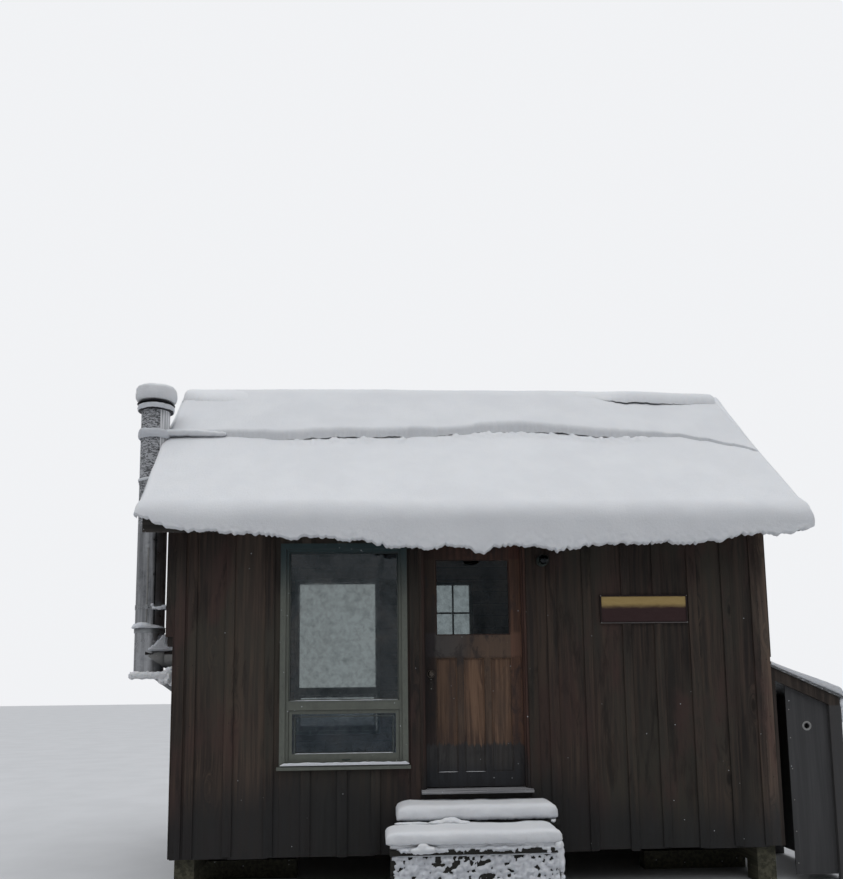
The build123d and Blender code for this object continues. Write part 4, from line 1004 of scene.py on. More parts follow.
# Snow on the roof
snow = {
    "depth": 0.095,
    "end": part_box("roof_snow_front")[1].x,
    "nose": -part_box("roof_snow_front")[0].y,
    "shoulder": 0.25,
    "toe": 0.018,
    "round": 0.045,
    "step": 0.011,
    "start": 0.12,
    "lipBottom": [(-2.70, 2.950), (-2.64, 2.937), (-2.58, 2.920), (-2.52, 2.874), (-2.36, 2.842),
                  (-2.30, 2.822), (-2.08, 2.823), (-2.03, 2.800), (-1.77, 2.804), (-1.58, 2.777),
                  (-1.47, 2.757), (-1.36, 2.769), (-1.18, 2.766), (-1.10, 2.751), (-0.95, 2.754),
                  (-0.87, 2.722), (-0.78, 2.714), (-0.75, 2.684), (-0.60, 2.698), (-0.38, 2.670),
                  (-0.24, 2.707), (-0.14, 2.692), (0.02, 2.642), (0.12, 2.690), (0.22, 2.700),
                  (0.44, 2.697), (0.62, 2.665), (0.80, 2.679), (0.87, 2.703), (1.25, 2.714), (1.36, 2.703),
                  (1.39, 2.722), (1.55, 2.728), (1.57, 2.711), (1.76, 2.709), (1.84, 2.728), (1.95, 2.734),
                  (2.04, 2.763), (2.17, 2.789), (2.28, 2.798), (2.41, 2.788), (2.50, 2.798), (2.60, 2.823),
                  (2.70, 2.852)],
    "backBottom": [(-2.70, 2.95), (-2.30, 2.88), (-1.80, 2.852), (-0.90, 2.845), (0.20, 2.84), (1.10, 2.845),
                   (2.00, 2.855), (2.50, 2.89), (2.70, 2.95)],
    "leftEnd": [(0.0, -0.020), (0.45, -0.020), (0.85, -0.032), (1.30, -0.020), (1.70, 0.002), (1.85, 0.034)],
    "rightEnd": [(0.0, -0.030), (0.45, -0.012), (0.90, 0.0), (1.68, 0.008), (1.80, 0.046), (1.85, 0.080)],
}

# The upper layer lies over the ridge, and ends on both slopes in a shoulder just clear of the lower one
layer = {
    "frontEdge": [(-2.70, 0.866), (-2.25, 0.872), (-2.08, 0.882), (-1.91, 0.900), (-1.69, 0.929),
                  (-1.50, 0.937), (-1.33, 0.926), (-1.11, 0.905), (-0.68, 0.903), (-0.54, 0.890),
                  (-0.46, 0.866), (-0.24, 0.873), (0.00, 0.847), (0.19, 0.814), (0.53, 0.801),
                  (0.70, 0.812), (0.88, 0.831), (1.07, 0.858), (1.26, 0.889), (1.45, 0.895), (1.64, 0.873),
                  (1.80, 0.853), (1.98, 0.860), (2.22, 0.910), (2.46, 0.996), (2.70, 1.090)],
    "frontDepth": [(-2.70, 0.040), (-2.10, 0.052), (-1.70, 0.068), (-1.35, 0.084), (-0.80, 0.080),
                   (-0.25, 0.074), (0.40, 0.090), (0.90, 0.078), (1.43, 0.074), (1.70, 0.050),
                   (1.97, 0.034), (2.45, 0.026), (2.70, 0.016)],
    "frontGap": [(-1.75, 0.0), (-1.50, 0.7), (-1.35, 1.0), (-0.60, 1.0), (-0.52, 0.0), (-0.27, 0.0),
                 (-0.22, 1.0), (0.12, 0.8), (0.30, 0.5), (0.75, 0.7), (0.90, 1.0), (1.58, 1.0), (1.75, 0.3),
                 (1.90, 0.0)],
    "backEdge": [(-2.70, 0.86), (-1.60, 0.90), (-0.50, 0.84), (0.70, 0.88), (1.90, 0.85), (2.70, 0.87)],
    "backDepth": [(-2.70, 0.045), (0.0, 0.065), (2.70, 0.045)],
    "backGap": [(-2.70, 0.0), (2.70, 0.0)],
    "crest": [(-2.70, 4.574), (-2.20, 4.588), (1.10, 4.590), (1.70, 4.572), (2.70, 4.566)],
    "end": 2.672,
    "leftShift": -0.010,
    "rightShift": [(0.0, -0.030), (0.45, -0.012), (0.85, 0.004)],
    "shoulder": 0.12,
    "gap": 0.027,
    "undercut": 0.100,
    "seed": 5,
}


def snowTop(y, depth):
    return roofTop(y) + depth / roof["fall"]


def columnPlaces(end, spacing):  # close together at both ends, where the snow rounds over
    edge = snow["round"]
    places = []
    x = -end + edge
    while x < end - edge:
        places.append(x)
        x += spacing
    ring = [end - edge * (1 - math.sin(math.pi / 2 * k / 7)) for k in range(8)]
    return [-v for v in reversed(ring)] + places[1:] + ring


def endInset(x, end, edge):
    t = max(0.0, (abs(x) - (end - edge)) / edge)
    return edge * (1 - math.sqrt(max(0.0, 1 - t * t)))


def wanderingEnd(x, y):  # how far each gable end of the snow stands out or back along the slope
    line = snow["leftEnd"] if x < 0 else snow["rightEnd"]
    return math.copysign(valueAt(line, abs(y)) * step(2.35, 2.66, abs(x)), x)


def roundedDrop(edge, radius, depth, foot, bends, runs):  # over a round shoulder and down to a foot
    pitch = roof["pitch"]
    middle = edge - radius
    tangent = middle + radius * math.sin(pitch)
    level = snowTop(tangent, depth) - radius * math.cos(pitch)
    last = math.acos(min(1.0, (foot - level) / radius)) if foot > level else math.pi / 2
    outline = []
    for k in range(bends + 1):
        angle = pitch + (last - pitch) * k / bends
        outline.append((middle + radius * math.sin(angle), level + radius * math.cos(angle)))
    y, z = outline[-1]
    return outline + [(y, z + (foot - z) * k / runs) for k in range(1, runs + 1)]


def drift(x, y, seed):
    lift = 0.009 * ripple(x, y, 0, 0.9, seed) + 0.004 * ripple(x, y, 0, 3.2, seed + 1)
    return lift + 0.0014 * ripple(x, y, 0, 14.0, seed + 2)


def rubble(x, y):  # crumbs that have broken off the layer above and lie along its crack
    beyond = y - valueAt(layer["frontEdge"], x)
    cracked = step(0.1, 0.6, valueAt(layer["frontGap"], x))
    near = step(-0.05, 0.0, beyond) * step(0.085, 0.015, beyond) * cracked
    broken = ripple(x, 1.5 * y, 0, 13.0, 61) + 0.6 * ripple(x, 1.5 * y, 1, 27.0, 62)
    return near * (0.007 + 0.036 * max(0.0, broken + 0.05))


def eaveSection(x, bottomLine, side, seed):
    inset = endInset(x, snow["end"], snow["round"])
    crumbs = 0.010 * ripple(x, 0, 0, 11.0, seed) + 0.014 * ripple(x, 1, 0, 25.0, seed)
    crumbs += 0.016 * ripple(x, 2, 0, 41.0, seed)
    notch = max(0.0, ripple(x, 3, 0, 23.0, seed + 6) - 0.20)
    bottom = valueAt(bottomLine, x) + 0.007 + crumbs + 0.030 * notch
    nose = snow["nose"] - 0.006 + 0.008 * ripple(x, 3, 0, 1.3, seed)
    drop = roundedDrop(nose, snow["shoulder"], snow["depth"], bottom + snow["toe"], 14, 18)
    outline = []
    rows = 84
    for k in range(rows):
        y = snow["start"] + (drop[0][0] - snow["start"]) * k / rows
        lift = drift(x, y, seed) + (rubble(x, y) if side < 0 else 0.0)
        outline.append((y, snowTop(y, snow["depth"]) + lift - inset * 0.9))
    for k, (y, z) in enumerate(drop):
        t = k / (len(drop) - 1)
        bulge = 0.008 * ripple(x, z, 0, 2.2, seed + 3) + 0.0045 * ripple(x, z, 0, 6.0, seed + 4)
        bulge += 0.005 * ripple(x, z, 0.3, 27.0, seed + 5) * step(0.60, 0.95, t)
        sink = inset * 0.9 * (1 - step(0.05, 0.45, t))
        outline.append((y + bulge * step(0.0, 0.35, t) - inset * step(0.02, 0.35, t),
                        z + drift(x, y, seed) * (1 - step(0.0, 0.3, t)) - sink))
    y = outline[-1][0]
    for k in range(1, 6):
        angle = math.pi / 2 * k / 5
        outline.append((y - 0.045 * (1 - math.cos(angle)), bottom + snow["toe"] * (1 - math.sin(angle))))
    base = roof["eave"]
    edgeTop = roofTop(base)
    outline += [
        (base + 0.024, bottom + 0.012),
        (base + 0.003, max(bottom + 0.030, roof["fasciaBottom"] + 0.03)),
        (base + 0.002, max(bottom + 0.034, edgeTop - 0.02)),
        (base - 0.01, max(bottom + 0.036, edgeTop + 0.006)),
    ]
    for k in range(1, 7):
        y = base + (snow["start"] - base) * k / 6
        outline.append((y, roofTop(y) + 0.002))
    return [(x + wanderingEnd(x, y), side * y, z) for y, z in outline]


def eaveSnow(name, side, bottomLine, spacing, seed, replaced):
    columns = columnPlaces(snow["end"], spacing)
    sheet = loftSections(name, [eaveSection(x, bottomLine, side, seed) for x in columns])
    finishPiece(sheet, "snow", "snow", replaced=[replaced], smooth=70)


eaveSnow("roofSnowFront", -1, snow["lipBottom"], snow["step"], 3, "roof_snow_front")
eaveSnow("roofSnowBack", 1, snow["backBottom"], 0.018, 8, "roof_snow_back")


def layerHeight(x, y):  # straight slopes that meet in a rounded crest of a given height
    depth = snow["depth"] + valueAt(layer["frontDepth" if y < 0 else "backDepth"], x)
    crest = valueAt(layer["crest"], x)
    reach = 2 * (snowTop(0, depth) - crest) / roof["slope"]
    height = snowTop(y, depth)
    if abs(y) < reach:
        height = snowTop(reach, depth) + roof["slope"] * (reach * reach - y * y) / (2 * reach)
    return height + drift(x, y, layer["seed"])


def layerEdge(x, side):  # (y, z) from the slope of the layer down its edge and in under it
    name = "front" if side < 0 else "back"
    depth = valueAt(layer[name + "Depth"], x)
    crack = valueAt(layer[name + "Gap"], x) * (0.75 + 0.5 * ripple(x, 0, side, 7.0, 21))
    edge = valueAt(layer[name + "Edge"], x) + 0.006 * ripple(x, 2, side, 6.0, 6)
    edge += 0.005 * ripple(x, 3, side, 19.0, 6)
    edge += 0.005 * ripple(x, 4, side, 41.0, 6)
    lower = snowTop(edge, snow["depth"])
    foot = lower + (layer["gap"] * crack + 0.004 * ripple(x, 5, side, 33.0, 8) if crack > 0.05 else -0.006)
    radius = min(layer["shoulder"], 1.15 * depth)
    outline = roundedDrop(edge, radius, snow["depth"] + depth, foot, 10, 5)
    inner = edge - 0.012 - layer["undercut"] * crack
    outline.append((edge - 0.010, foot + 0.006 * crack))
    outline.append((inner, snowTop(inner, snow["depth"]) + 0.004))
    outline.append((inner - 0.02, snowTop(inner - 0.02, snow["depth"]) - 0.030))
    return outline


def layerShift(x, y):  # its ends lie a little further in than the roof's
    reach = step(2.3, 2.62, abs(x))
    return reach * (layer["leftShift"] if x < 0 else valueAt(layer["rightShift"], abs(y)))


def layerSection(x):
    inset = endInset(x, layer["end"], snow["round"])
    front = layerEdge(x, -1)
    back = layerEdge(x, 1)
    outline = []
    for k, (y, z) in enumerate(reversed(front)):
        share = k / (len(front) - 1)
        lift = drift(x, -y, layer["seed"]) * step(0.3, 1.0, share) - 0.9 * inset * share
        outline.append((-y + inset * 0.5, z + lift))
    rows = 64
    start, stop = -front[0][0], back[0][0]
    for k in range(1, rows):
        y = start + (stop - start) * k / rows
        outline.append((y, layerHeight(x, y) - 0.9 * inset))
    for k, (y, z) in enumerate(back):
        share = 1 - k / (len(back) - 1)
        lift = drift(x, y, layer["seed"]) * step(0.3, 1.0, share) - 0.9 * inset * share
        outline.append((y - inset * 0.5, z + lift))
    low = back[-1][0]
    for y in (low * 0.7, low * 0.4, 0.15, 0.12, 0.0, -0.12, -0.15, -low * 0.4, -low * 0.7):
        under = roofTop(y) + 0.003 if abs(y) < 0.13 else snowTop(abs(y), snow["depth"]) - 0.045
        outline.append((y, under))
    return [(x + layerShift(x, y), y, z) for y, z in outline]


layerColumns = columnPlaces(layer["end"], snow["step"])
ridgeSnow = loftSections("roofSnowRidge", [layerSection(x) for x in layerColumns])
finishPiece(ridgeSnow, "upperSnow", "snow", replaced=["roof_snow_upper"], smooth=70)

# Two rolls along the crest, the thick one on the right with a crack under its edge
rolls = [
    {
        "name": "ridgeRollRight", "ends": (1.10, 2.652), "crest": 0.011, "seed": 41,
        "foot": [(1.10, 0.22), (1.28, 0.330), (1.46, 0.385), (1.60, 0.395), (1.90, 0.370), (2.24, 0.335),
                 (2.70, 0.280)],
        "strength": [(1.10, 0.0), (1.35, 0.35), (1.70, 1.0), (2.40, 1.0), (2.65, 0.90)],
        "gap": [(1.35, 0.0), (1.58, 0.024), (1.95, 0.022), (2.12, 0.010), (2.40, 0.0)],
    },
    {
        "name": "ridgeRollLeft", "ends": (-2.682, -1.95), "crest": 0.008, "seed": 43,
        "foot": [(-2.75, 0.34), (-2.30, 0.37), (-1.95, 0.34)],
        "strength": [(-2.75, 0.85), (-2.35, 0.42), (-1.95, 0.0)],
        "gap": [(-2.70, 0.0), (-1.95, 0.0)],
    },
]
rollShape = [(0.0, 1.0), (0.20, 0.945), (0.38, 0.875), (0.54, 0.800), (0.67, 0.725), (0.76, 0.650),
             (0.83, 0.560), (0.89, 0.440), (0.94, 0.300), (0.98, 0.150), (1.0, 0.0)]


def rollSection(roll, x):
    low, high = roll["ends"]
    foot = valueAt(roll["foot"], x) + 0.010 * ripple(x, 0, 0, 8.0, roll["seed"])
    foot += 0.014 * ripple(x, 0, 0, 25.0, roll["seed"])
    strength = valueAt(roll["strength"], x)
    gap = valueAt(roll["gap"], x)
    outer = low if low < 0 else high
    inset = endInset(abs(x), abs(outer), 0.05)
    crest = layerHeight(x, 0.0) + roll["crest"] * strength
    base = layerHeight(x, -foot) + gap
    outline = [(0.24, layerHeight(x, 0.24) - 0.012), (0.12, layerHeight(x, 0.12) - 0.004 + 0.006 * strength)]
    for share, rise in rollShape:
        y = -foot * share
        plain = layerHeight(x, y) - 0.005
        thick = base + rise * (crest - base) + 0.004 * ripple(x, y, 0, 5.0, roll["seed"] + 1)
        outline.append((y + inset * share, plain + strength * (thick - plain) - inset * 0.8))
    outline.append((-foot + 0.014, base + 0.006 - 0.5 * inset))
    outline.append((-foot + 0.075, layerHeight(x, -foot + 0.075) + 0.3 * gap - 0.004 - inset))
    outline.append((-foot + 0.110, layerHeight(x, -foot + 0.110) - 0.040 - inset))
    outline.append((0.10, layerHeight(x, 0.10) - 0.060 - inset))
    return [(x + layerShift(x, y) * 0.6, y, z) for y, z in outline]


for roll in rolls:
    low, high = roll["ends"]
    columns = [low + (high - low) * k / 90 for k in range(91)]
    ridgeRoll = loftSections(roll["name"], [rollSection(roll, x) for x in columns])
    finishPiece(ridgeRoll, "snow", "snow", smooth=70)

print("roof snow done")

# Snow that lies in banks and ledges


def snowBank(name, along, depth, bottom, top, ends, seed, rough, lift=None):
    lowX, highX = along
    front, back = depth
    columns = max(8, round((highX - lowX) / 0.014))
    sections = []
    for i in range(columns + 1):
        x = lowX + (highX - lowX) * i / columns
        inset = 0.0
        for edge, size in ((lowX, ends[0]), (highX, ends[1])):
            t = max(0.0, 1 - abs(x - edge) / size)
            inset = max(inset, 1 - math.sqrt(max(0.0, 1 - t * t)))
        height = top - bottom + (lift(x) if lift else 0)
        low = bottom + 0.012 * abs(ripple(x, 0, 0, 34.0, seed)) + 0.10 * height * inset
        crest = bottom + height * (1 - 0.42 * inset) + 0.5 * rough * ripple(x, 1, 0, 5.0, seed)
        middle = (low + crest) / 2
        half = (crest - low) / 2
        nose = front + 0.30 * (top - bottom) * inset
        section = []
        for k in range(15):  # front face bulges from the foot round to the top
            angle = -math.pi / 2 + math.pi * k / 14
            curve = abs(math.cos(angle)) ** 0.72
            z = middle + half * math.copysign(abs(math.sin(angle)) ** 0.85, math.sin(angle))
            y = nose + half * 0.95 * (1 - curve)
            y += rough * ripple(x, y, z, 9.0, seed + 1) + 0.5 * rough * ripple(x, y, z, 26.0, seed + 2)
            section.append((x, y, z))
        for k in range(1, 9):
            y = nose + half + (back - nose - half) * k / 8
            section.append((x, y, crest + rough * ripple(x, y, 0, 8.0, seed + 3)))
        section += [(x, back, low), (x, (front + back) / 2, low)]
        sections.append(section)
    return loftSections(name, sections)


stepTop = {"upper": 0.588, "lower": 0.4505, "lowerSnowFoot": 0.478, "upperBack": cabin["front"] - 0.002}
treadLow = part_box("step_treads")[0]
upperBank = snowBank("upperStepSnow", (-0.676, 0.560), (-1.868, stepTop["upperBack"]),
                     stepTop["upper"] + 0.001, 0.716, (0.115, 0.100), 12, rough=0.008,
                     lift=lambda x: 0.010 * ripple(x, 0, 0, 1.9, 3))
lowerBank = snowBank("lowerStepSnow", (-0.765, 0.512), (-2.222, -1.852), stepTop["lowerSnowFoot"], 0.583,
                     (0.115, 0.110), 17, rough=0.008, lift=lambda x: 0.006 * ripple(x, 0, 0, 2.3, 5))
treadDust = snowBank("lowerTreadSnow", (-0.735, 0.498), (-2.190, -1.90), stepTop["lower"] + 0.0005, 0.50,
                     (0.03, 0.03), 21, rough=0.004)
bridge = addBlobs("stepSnowBridge", [
    ((-0.270, -1.866, 0.590), (0.085, 0.040, 0.038)), ((-0.350, -1.866, 0.584), (0.090, 0.036, 0.024)),
    ((-0.190, -1.866, 0.582), (0.080, 0.036, 0.020)), ((-0.560, -1.864, 0.582), (0.150, 0.030, 0.016)),
    ((0.520, -1.760, 0.580), (0.040, 0.110, 0.024)),
    ((-0.500, -2.203, 0.476), (0.044, 0.034, 0.034)), ((-0.470, -2.206, 0.456), (0.066, 0.034, 0.026)),
    ((-0.530, -2.202, 0.450), (0.072, 0.032, 0.024)), ((-0.495, -2.202, 0.438), (0.100, 0.030, 0.018)),
    ((0.485, -2.180, 0.465), (0.040, 0.040, 0.040)), ((0.495, -2.172, 0.410), (0.036, 0.036, 0.050)),
    ((0.503, -2.168, 0.350), (0.030, 0.032, 0.050)), ((0.508, -2.164, 0.300), (0.024, 0.028, 0.040)),
], 0.008, 4, rough=0.010, grain=0.035, seed=2, tumble=False)
for bank in (upperBank, lowerBank, treadDust, bridge):
    finishSnow(bank, "snow", replaced=["step_snow"] if bank == upperBank else ())


cribLow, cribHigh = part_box("step_crib_lower")


def crustedFace(name, along, heights, y, seed):  # a rough sheet of snow that sinks into the timber in places
    spacing = 0.0075
    columns = round((along[1] - along[0]) / spacing)
    sections = []
    for i in range(columns + 1):
        x = along[0] + (along[1] - along[0]) * i / columns
        section = []
        rows = round((heights[1] - heights[0]) / spacing)
        for k in range(rows + 1):
            z = heights[0] + (heights[1] - heights[0]) * k / rows
            lumps = 0.018 * ripple(x, 0, z, 15.0, seed) + 0.018 * ripple(x, 1, z, 34.0, seed + 1)
            lumps += 0.008 * ripple(x, 2, z, 80.0, seed + 2)
            cover = 0.0065 - 0.026 * step(0.05, 0.0, z - heights[0])
            cover -= 0.020 * step(0.020, 0.0, heights[1] - z)
            cover -= 0.022 * step(0.03, 0.0, x - along[0])
            section.append((x, y - max(-0.012, cover + lumps), z))
        section += [(x, y + 0.016, heights[1]), (x, y + 0.016, heights[0])]
        sections.append(section)
    return loftSections(name, sections)


clumps = crustedFace("cribFrontSnow", (cribLow.x + 0.004, cribHigh.x - 0.004), (0.012, 0.425), cribLow.y, 6)
finishSnow(clumps, "crust")
edgeCrust = crustedFace("treadEdgeSnow", (treadLow.x + 0.050, 0.500), (0.402, 0.470), treadLow.y - 0.001, 15)
finishSnow(edgeCrust, "crust")
draw = random.Random(8)
side = [(cribHigh.x + draw.uniform(-0.004, 0.016), draw.uniform(-2.175, -1.86), draw.uniform(0.06, 0.47))
        for _ in range(75)]
side += [(cribHigh.x + draw.uniform(0.0, 0.026), draw.uniform(-2.19, -2.02), draw.uniform(0.22, 0.50))
         for _ in range(30)]
draw = random.Random(9)
lumps = []
for spot in side:
    size = 0.026 * draw.uniform(0.55, 1.25)
    lumps.append((spot, (size * draw.uniform(0.8, 1.5), size * 0.91, size * draw.uniform(0.55, 1.0))))
sideSnow = addBlobs("cribSideSnow", lumps, 0.007, 2, rough=0.004, grain=0.026, seed=9)
finishSnow(sideSnow, "crust")
print("snow on the steps done")


def ledgeSnow(name, along, depth, z, height, seed, fade=0.05, broken=0.0):
    lowX, highX = along
    front, back = depth
    columns = max(10, round((highX - lowX) / 0.008))
    sections = []
    for i in range(columns + 1):
        x = lowX + (highX - lowX) * i / columns
        taper = min(1.0, (x - lowX) / fade, (highX - x) / fade)
        crest = height * (0.25 + 0.75 * max(0.0, taper)) * (1 + 0.35 * ripple(x, z, 0, 18.0, seed))
        crest *= 1 - broken * step(0.0, 0.35, ripple(x, z, 1, 9.0, seed + 1))
        crest = max(crest, 0.0008)
        reach = front - 0.15 * crest + 0.25 * height * ripple(x, z, 0, 26.0, seed + 2)
        section = [(x, reach + (back - reach) * (1 - math.cos(math.pi * k / 10)) / 2,
                    z + crest * math.sin(math.pi * k / 10) ** 0.7) for k in range(10)]
        section += [(x, back, z + 0.3 * crest), (x, back, z - 0.0002),
                    (x, reach + 0.3 * (back - reach), z - 0.0002)]
        sections.append(section)
    return loftSections(name, sections)


# Front window: beads round the fixed pane, snow on its ledges, a latch and screws
paneLow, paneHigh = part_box("window_glass")
sashLow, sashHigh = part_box("window_sash")
frameLow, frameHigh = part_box("window_frame")
window = {
    "transomTop": 1.501,
    "transomBottom": 1.427,
    "bead": 0.012,
    "beadDepth": 0.014,
    "sillTop": 1.029,
    "sashRail": 0.046,
    "sashOpening": 1.083,
}


def frameOf(xs, zs, y, width, depth):  # four bars round an opening
    (xa, xb), (za, zb) = xs, zs
    near, far = sorted((y, y + depth))
    return [
        ((xa, near, zb - width), (xb, far, zb)), ((xa, near, za), (xb, far, za + width)),
        ((xa, near, za + width), (xa + width, far, zb - width)),
        ((xb - width, near, za + width), (xb, far, zb - width)),
    ]


paneBead = frameOf((paneLow.x, paneHigh.x), (window["transomTop"], paneHigh.z), paneLow.y, window["bead"],
                   -window["beadDepth"])
addBoxPiece("windowBead", paneBead, "sashTrim", "frame_paint", bevel=0.003)
rail = window["sashRail"]
sashBead = frameOf((sashLow.x + rail, sashHigh.x - rail), (window["sashOpening"], sashHigh.z - rail),
                   sashLow.y + 0.012, 0.008, -0.010)
addBoxPiece("sashBead", sashBead, "sashTrim", "sash_paint", bevel=0.002)
addBoxPiece("windowGrooves", [
    ((paneLow.x, frameLow.y + 0.0385, window["transomBottom"] + 0.018),
     (paneHigh.x, frameLow.y + 0.0415, window["transomBottom"] + 0.022)),
], "seal", "frame_paint", smooth=0)
addBoxPiece("sashLatch", [
    ((-1.104, sashLow.y - 0.010, 1.026), (-1.034, sashLow.y, 1.040)),
    ((-1.082, sashLow.y - 0.020, 1.028), (-1.056, sashLow.y - 0.008, 1.036)),
], "lampMetal", "sash_paint", bevel=0.002)
screws = []
for x in (frameLow.x + 0.040, frameHigh.x - 0.040):
    z = 1.06
    while z < 2.75:
        screws.append((x, frameLow.y + 0.0195, z))
        z += 0.28
addPins("casingScrews", screws, 0.0045, 0.002, "sashTrim", "frame_paint")
ledges = [
    ledgeSnow("transomSnow", (paneLow.x + 0.012, paneHigh.x - 0.012), (paneLow.y - 0.030, paneLow.y - 0.0145),
              window["transomTop"] + 0.0005, 0.005, 3, broken=0.5),
    ledgeSnow("sashLedgeSnow", (sashLow.x + 0.050, sashHigh.x - 0.050), (sashLow.y, sashLow.y + 0.011),
              window["sashOpening"], 0.0045, 5, fade=0.02),
    ledgeSnow("sillSnow", (frameLow.x + 0.030, frameHigh.x - 0.012), (frameLow.y - 0.004, frameLow.y + 0.012),
              window["sillTop"] - 0.032, 0.021, 7, fade=0.03),
]
for ledge in ledges:
    finishSnow(ledge, "crust")


# Back windows: glazing bars and beads
small = {"width": 0.382, "height": 0.648, "bar": 0.020, "z": (2.097, 2.745), "barHeight": 0.50}
smallGlassY = (1.488 - 0.014, 1.488 + 0.014)
bars = []
for centre in (smallLow.x + lap + smallWidth / 2, smallHigh.x - lap - smallWidth / 2):
    half = small["width"] / 2
    crossing = small["z"][0] + small["height"] * small["barHeight"]
    for near, far in ((smallGlassY[0], 1.476), (1.500, smallGlassY[1])):
        bars.append(((centre - small["bar"] / 2, near, small["z"][0]),
                     (centre + small["bar"] / 2, far, small["z"][1])))
        bars.append(((centre - half, near + 0.001, crossing - small["bar"] / 2),
                     (centre + half, far - 0.001, crossing + small["bar"] / 2)))
addBoxPiece("smallWindowBars", bars, "sashTrim", "sash_paint", bevel=0.002)
backBead = frameOf((-1.697, -0.807), (1.570, 2.777), 1.500, window["bead"], window["beadDepth"])
addBoxPiece("backWindowBead", backBead, "sashTrim", "frame_paint", bevel=0.003)


# Door: beads, screws, a keyhole, snow on the ledges of the panels
leafLow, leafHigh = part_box("door_leaf")
glassLow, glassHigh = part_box("door_glass")
door["face"], door["back"] = leafLow.y, leafHigh.y
opening = leafHigh.x - leafLow.x - 2 * door["stile"]
panelWidth = (opening - 2 * door["mullion"]) / 3
panelStarts = [leafLow.x + door["stile"] + i * (panelWidth + door["mullion"]) for i in range(3)]
panels = [(x, x + panelWidth) for x in panelStarts]
for name, y, depth in (("doorBeadOut", glassLow.y, -0.009), ("doorBeadIn", glassHigh.y, 0.009)):
    addBoxPiece(name, frameOf((glassLow.x, glassHigh.x), (glassLow.z, glassHigh.z), y, 0.009, depth),
                "doorFrame", "door_wood", bevel=0.003, body="door")
mouldings = []
for xa, xb in panels:
    for y, depth in ((door["face"] + door["recess"], -0.008), (door["back"] - door["recess"], 0.008)):
        near, far = sorted((y, y + depth))
        mouldings += [((xa, near, door["panelTop"] - 0.009), (xb, far, door["panelTop"])),
                      ((xa, near, door["panelBottom"]), (xa + 0.008, far, door["panelTop"] - 0.009)),
                      ((xb - 0.008, near, door["panelBottom"]), (xb, far, door["panelTop"] - 0.009))]
addBoxPiece("panelMouldings", mouldings, "door", "door_wood", bevel=0.003, toneSeed=3, body="door")
for number, (xa, xb) in enumerate(panels[:2]):
    ledge = ledgeSnow("panelSnow" + str(number), (xa + 0.006, xb - 0.006),
                      (door["face"] + 0.001, door["face"] + door["recess"] - 0.001), door["panelBottom"],
                      0.0045, 9 + number, fade=0.02, broken=0.5)
    finishSnow(ledge, "crust", body="door")
knobLow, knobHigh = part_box("door_knob")
roseCentre = (knobLow.x + knobHigh.x) / 2
plates = []
for y, depth in ((door["face"], -0.004), (door["back"], 0.004)):
    near, far = sorted((y, y + depth))
    plates.append(((roseCentre - 0.017, near, 1.575), (roseCentre + 0.017, far, 1.672)))
addBoxPiece("keyholePlates", plates, "nail", "knob_metal", bevel=0.0015, body="door")
plateFaces = (door["face"] - 0.0042, door["back"] + 0.0042)
addPins("keyholes", [(roseCentre, y, 1.636) for y in plateFaces], 0.0052, 0.0016, "seal", "knob_metal",
        sides=14, body="door")
addPins("plateScrews", [(roseCentre, y, z) for y in plateFaces for z in (1.585, 1.662)], 0.0032, 0.0018,
        "hinge", "knob_metal", body="door")


# Sign board: nails at its corners
nailSpots = [(x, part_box("sign_board")[0].y - 0.0005, z) for x in (signBox[0] + 0.006, signBox[1] - 0.006)
             for z in (signBox[2] + 0.006, signBox[3] - 0.006)]
addPins("signNails", nailSpots, 0.0035, 0.003, "hinge", "sign_paint")


# Wall lamp: guard rings and bars round the jar
jarLow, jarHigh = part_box("wall_light_jar")
lampX = (jarLow.x + jarHigh.x) / 2
lampZ = (jarLow.z + jarHigh.z) / 2
facing = (math.radians(90), 0, 0)
guard = [(bpy.ops.mesh.primitive_torus_add, {
    "major_radius": radius, "minor_radius": 0.0030, "major_segments": 40, "minor_segments": 8,
    "location": (lampX, y, lampZ), "rotation": facing,
}) for y, radius in ((jarHigh.y - 0.008, 0.0425), (jarHigh.y - 0.050, 0.0415))]
guard += [(bpy.ops.mesh.primitive_cylinder_add, {
    "vertices": 10, "radius": 0.0025, "depth": 0.072, "rotation": facing,
    "location": (lampX + 0.0415 * math.cos(angle), jarHigh.y - 0.040, lampZ + 0.0415 * math.sin(angle)),
}) for angle in (math.pi / 4 + k * math.pi / 2 for k in range(4))]
finishPiece(gather("lampGuard", guard), "lampMetal", "lamp_metal")
print("windows, door, sign and lamp done")


# Flue: seams, band bolts, snow on the cap, collars, brace and branch
flue = {"radius": (flueHigh.x - flueLow.x) / 2, "bands": (2.311, 3.428)}


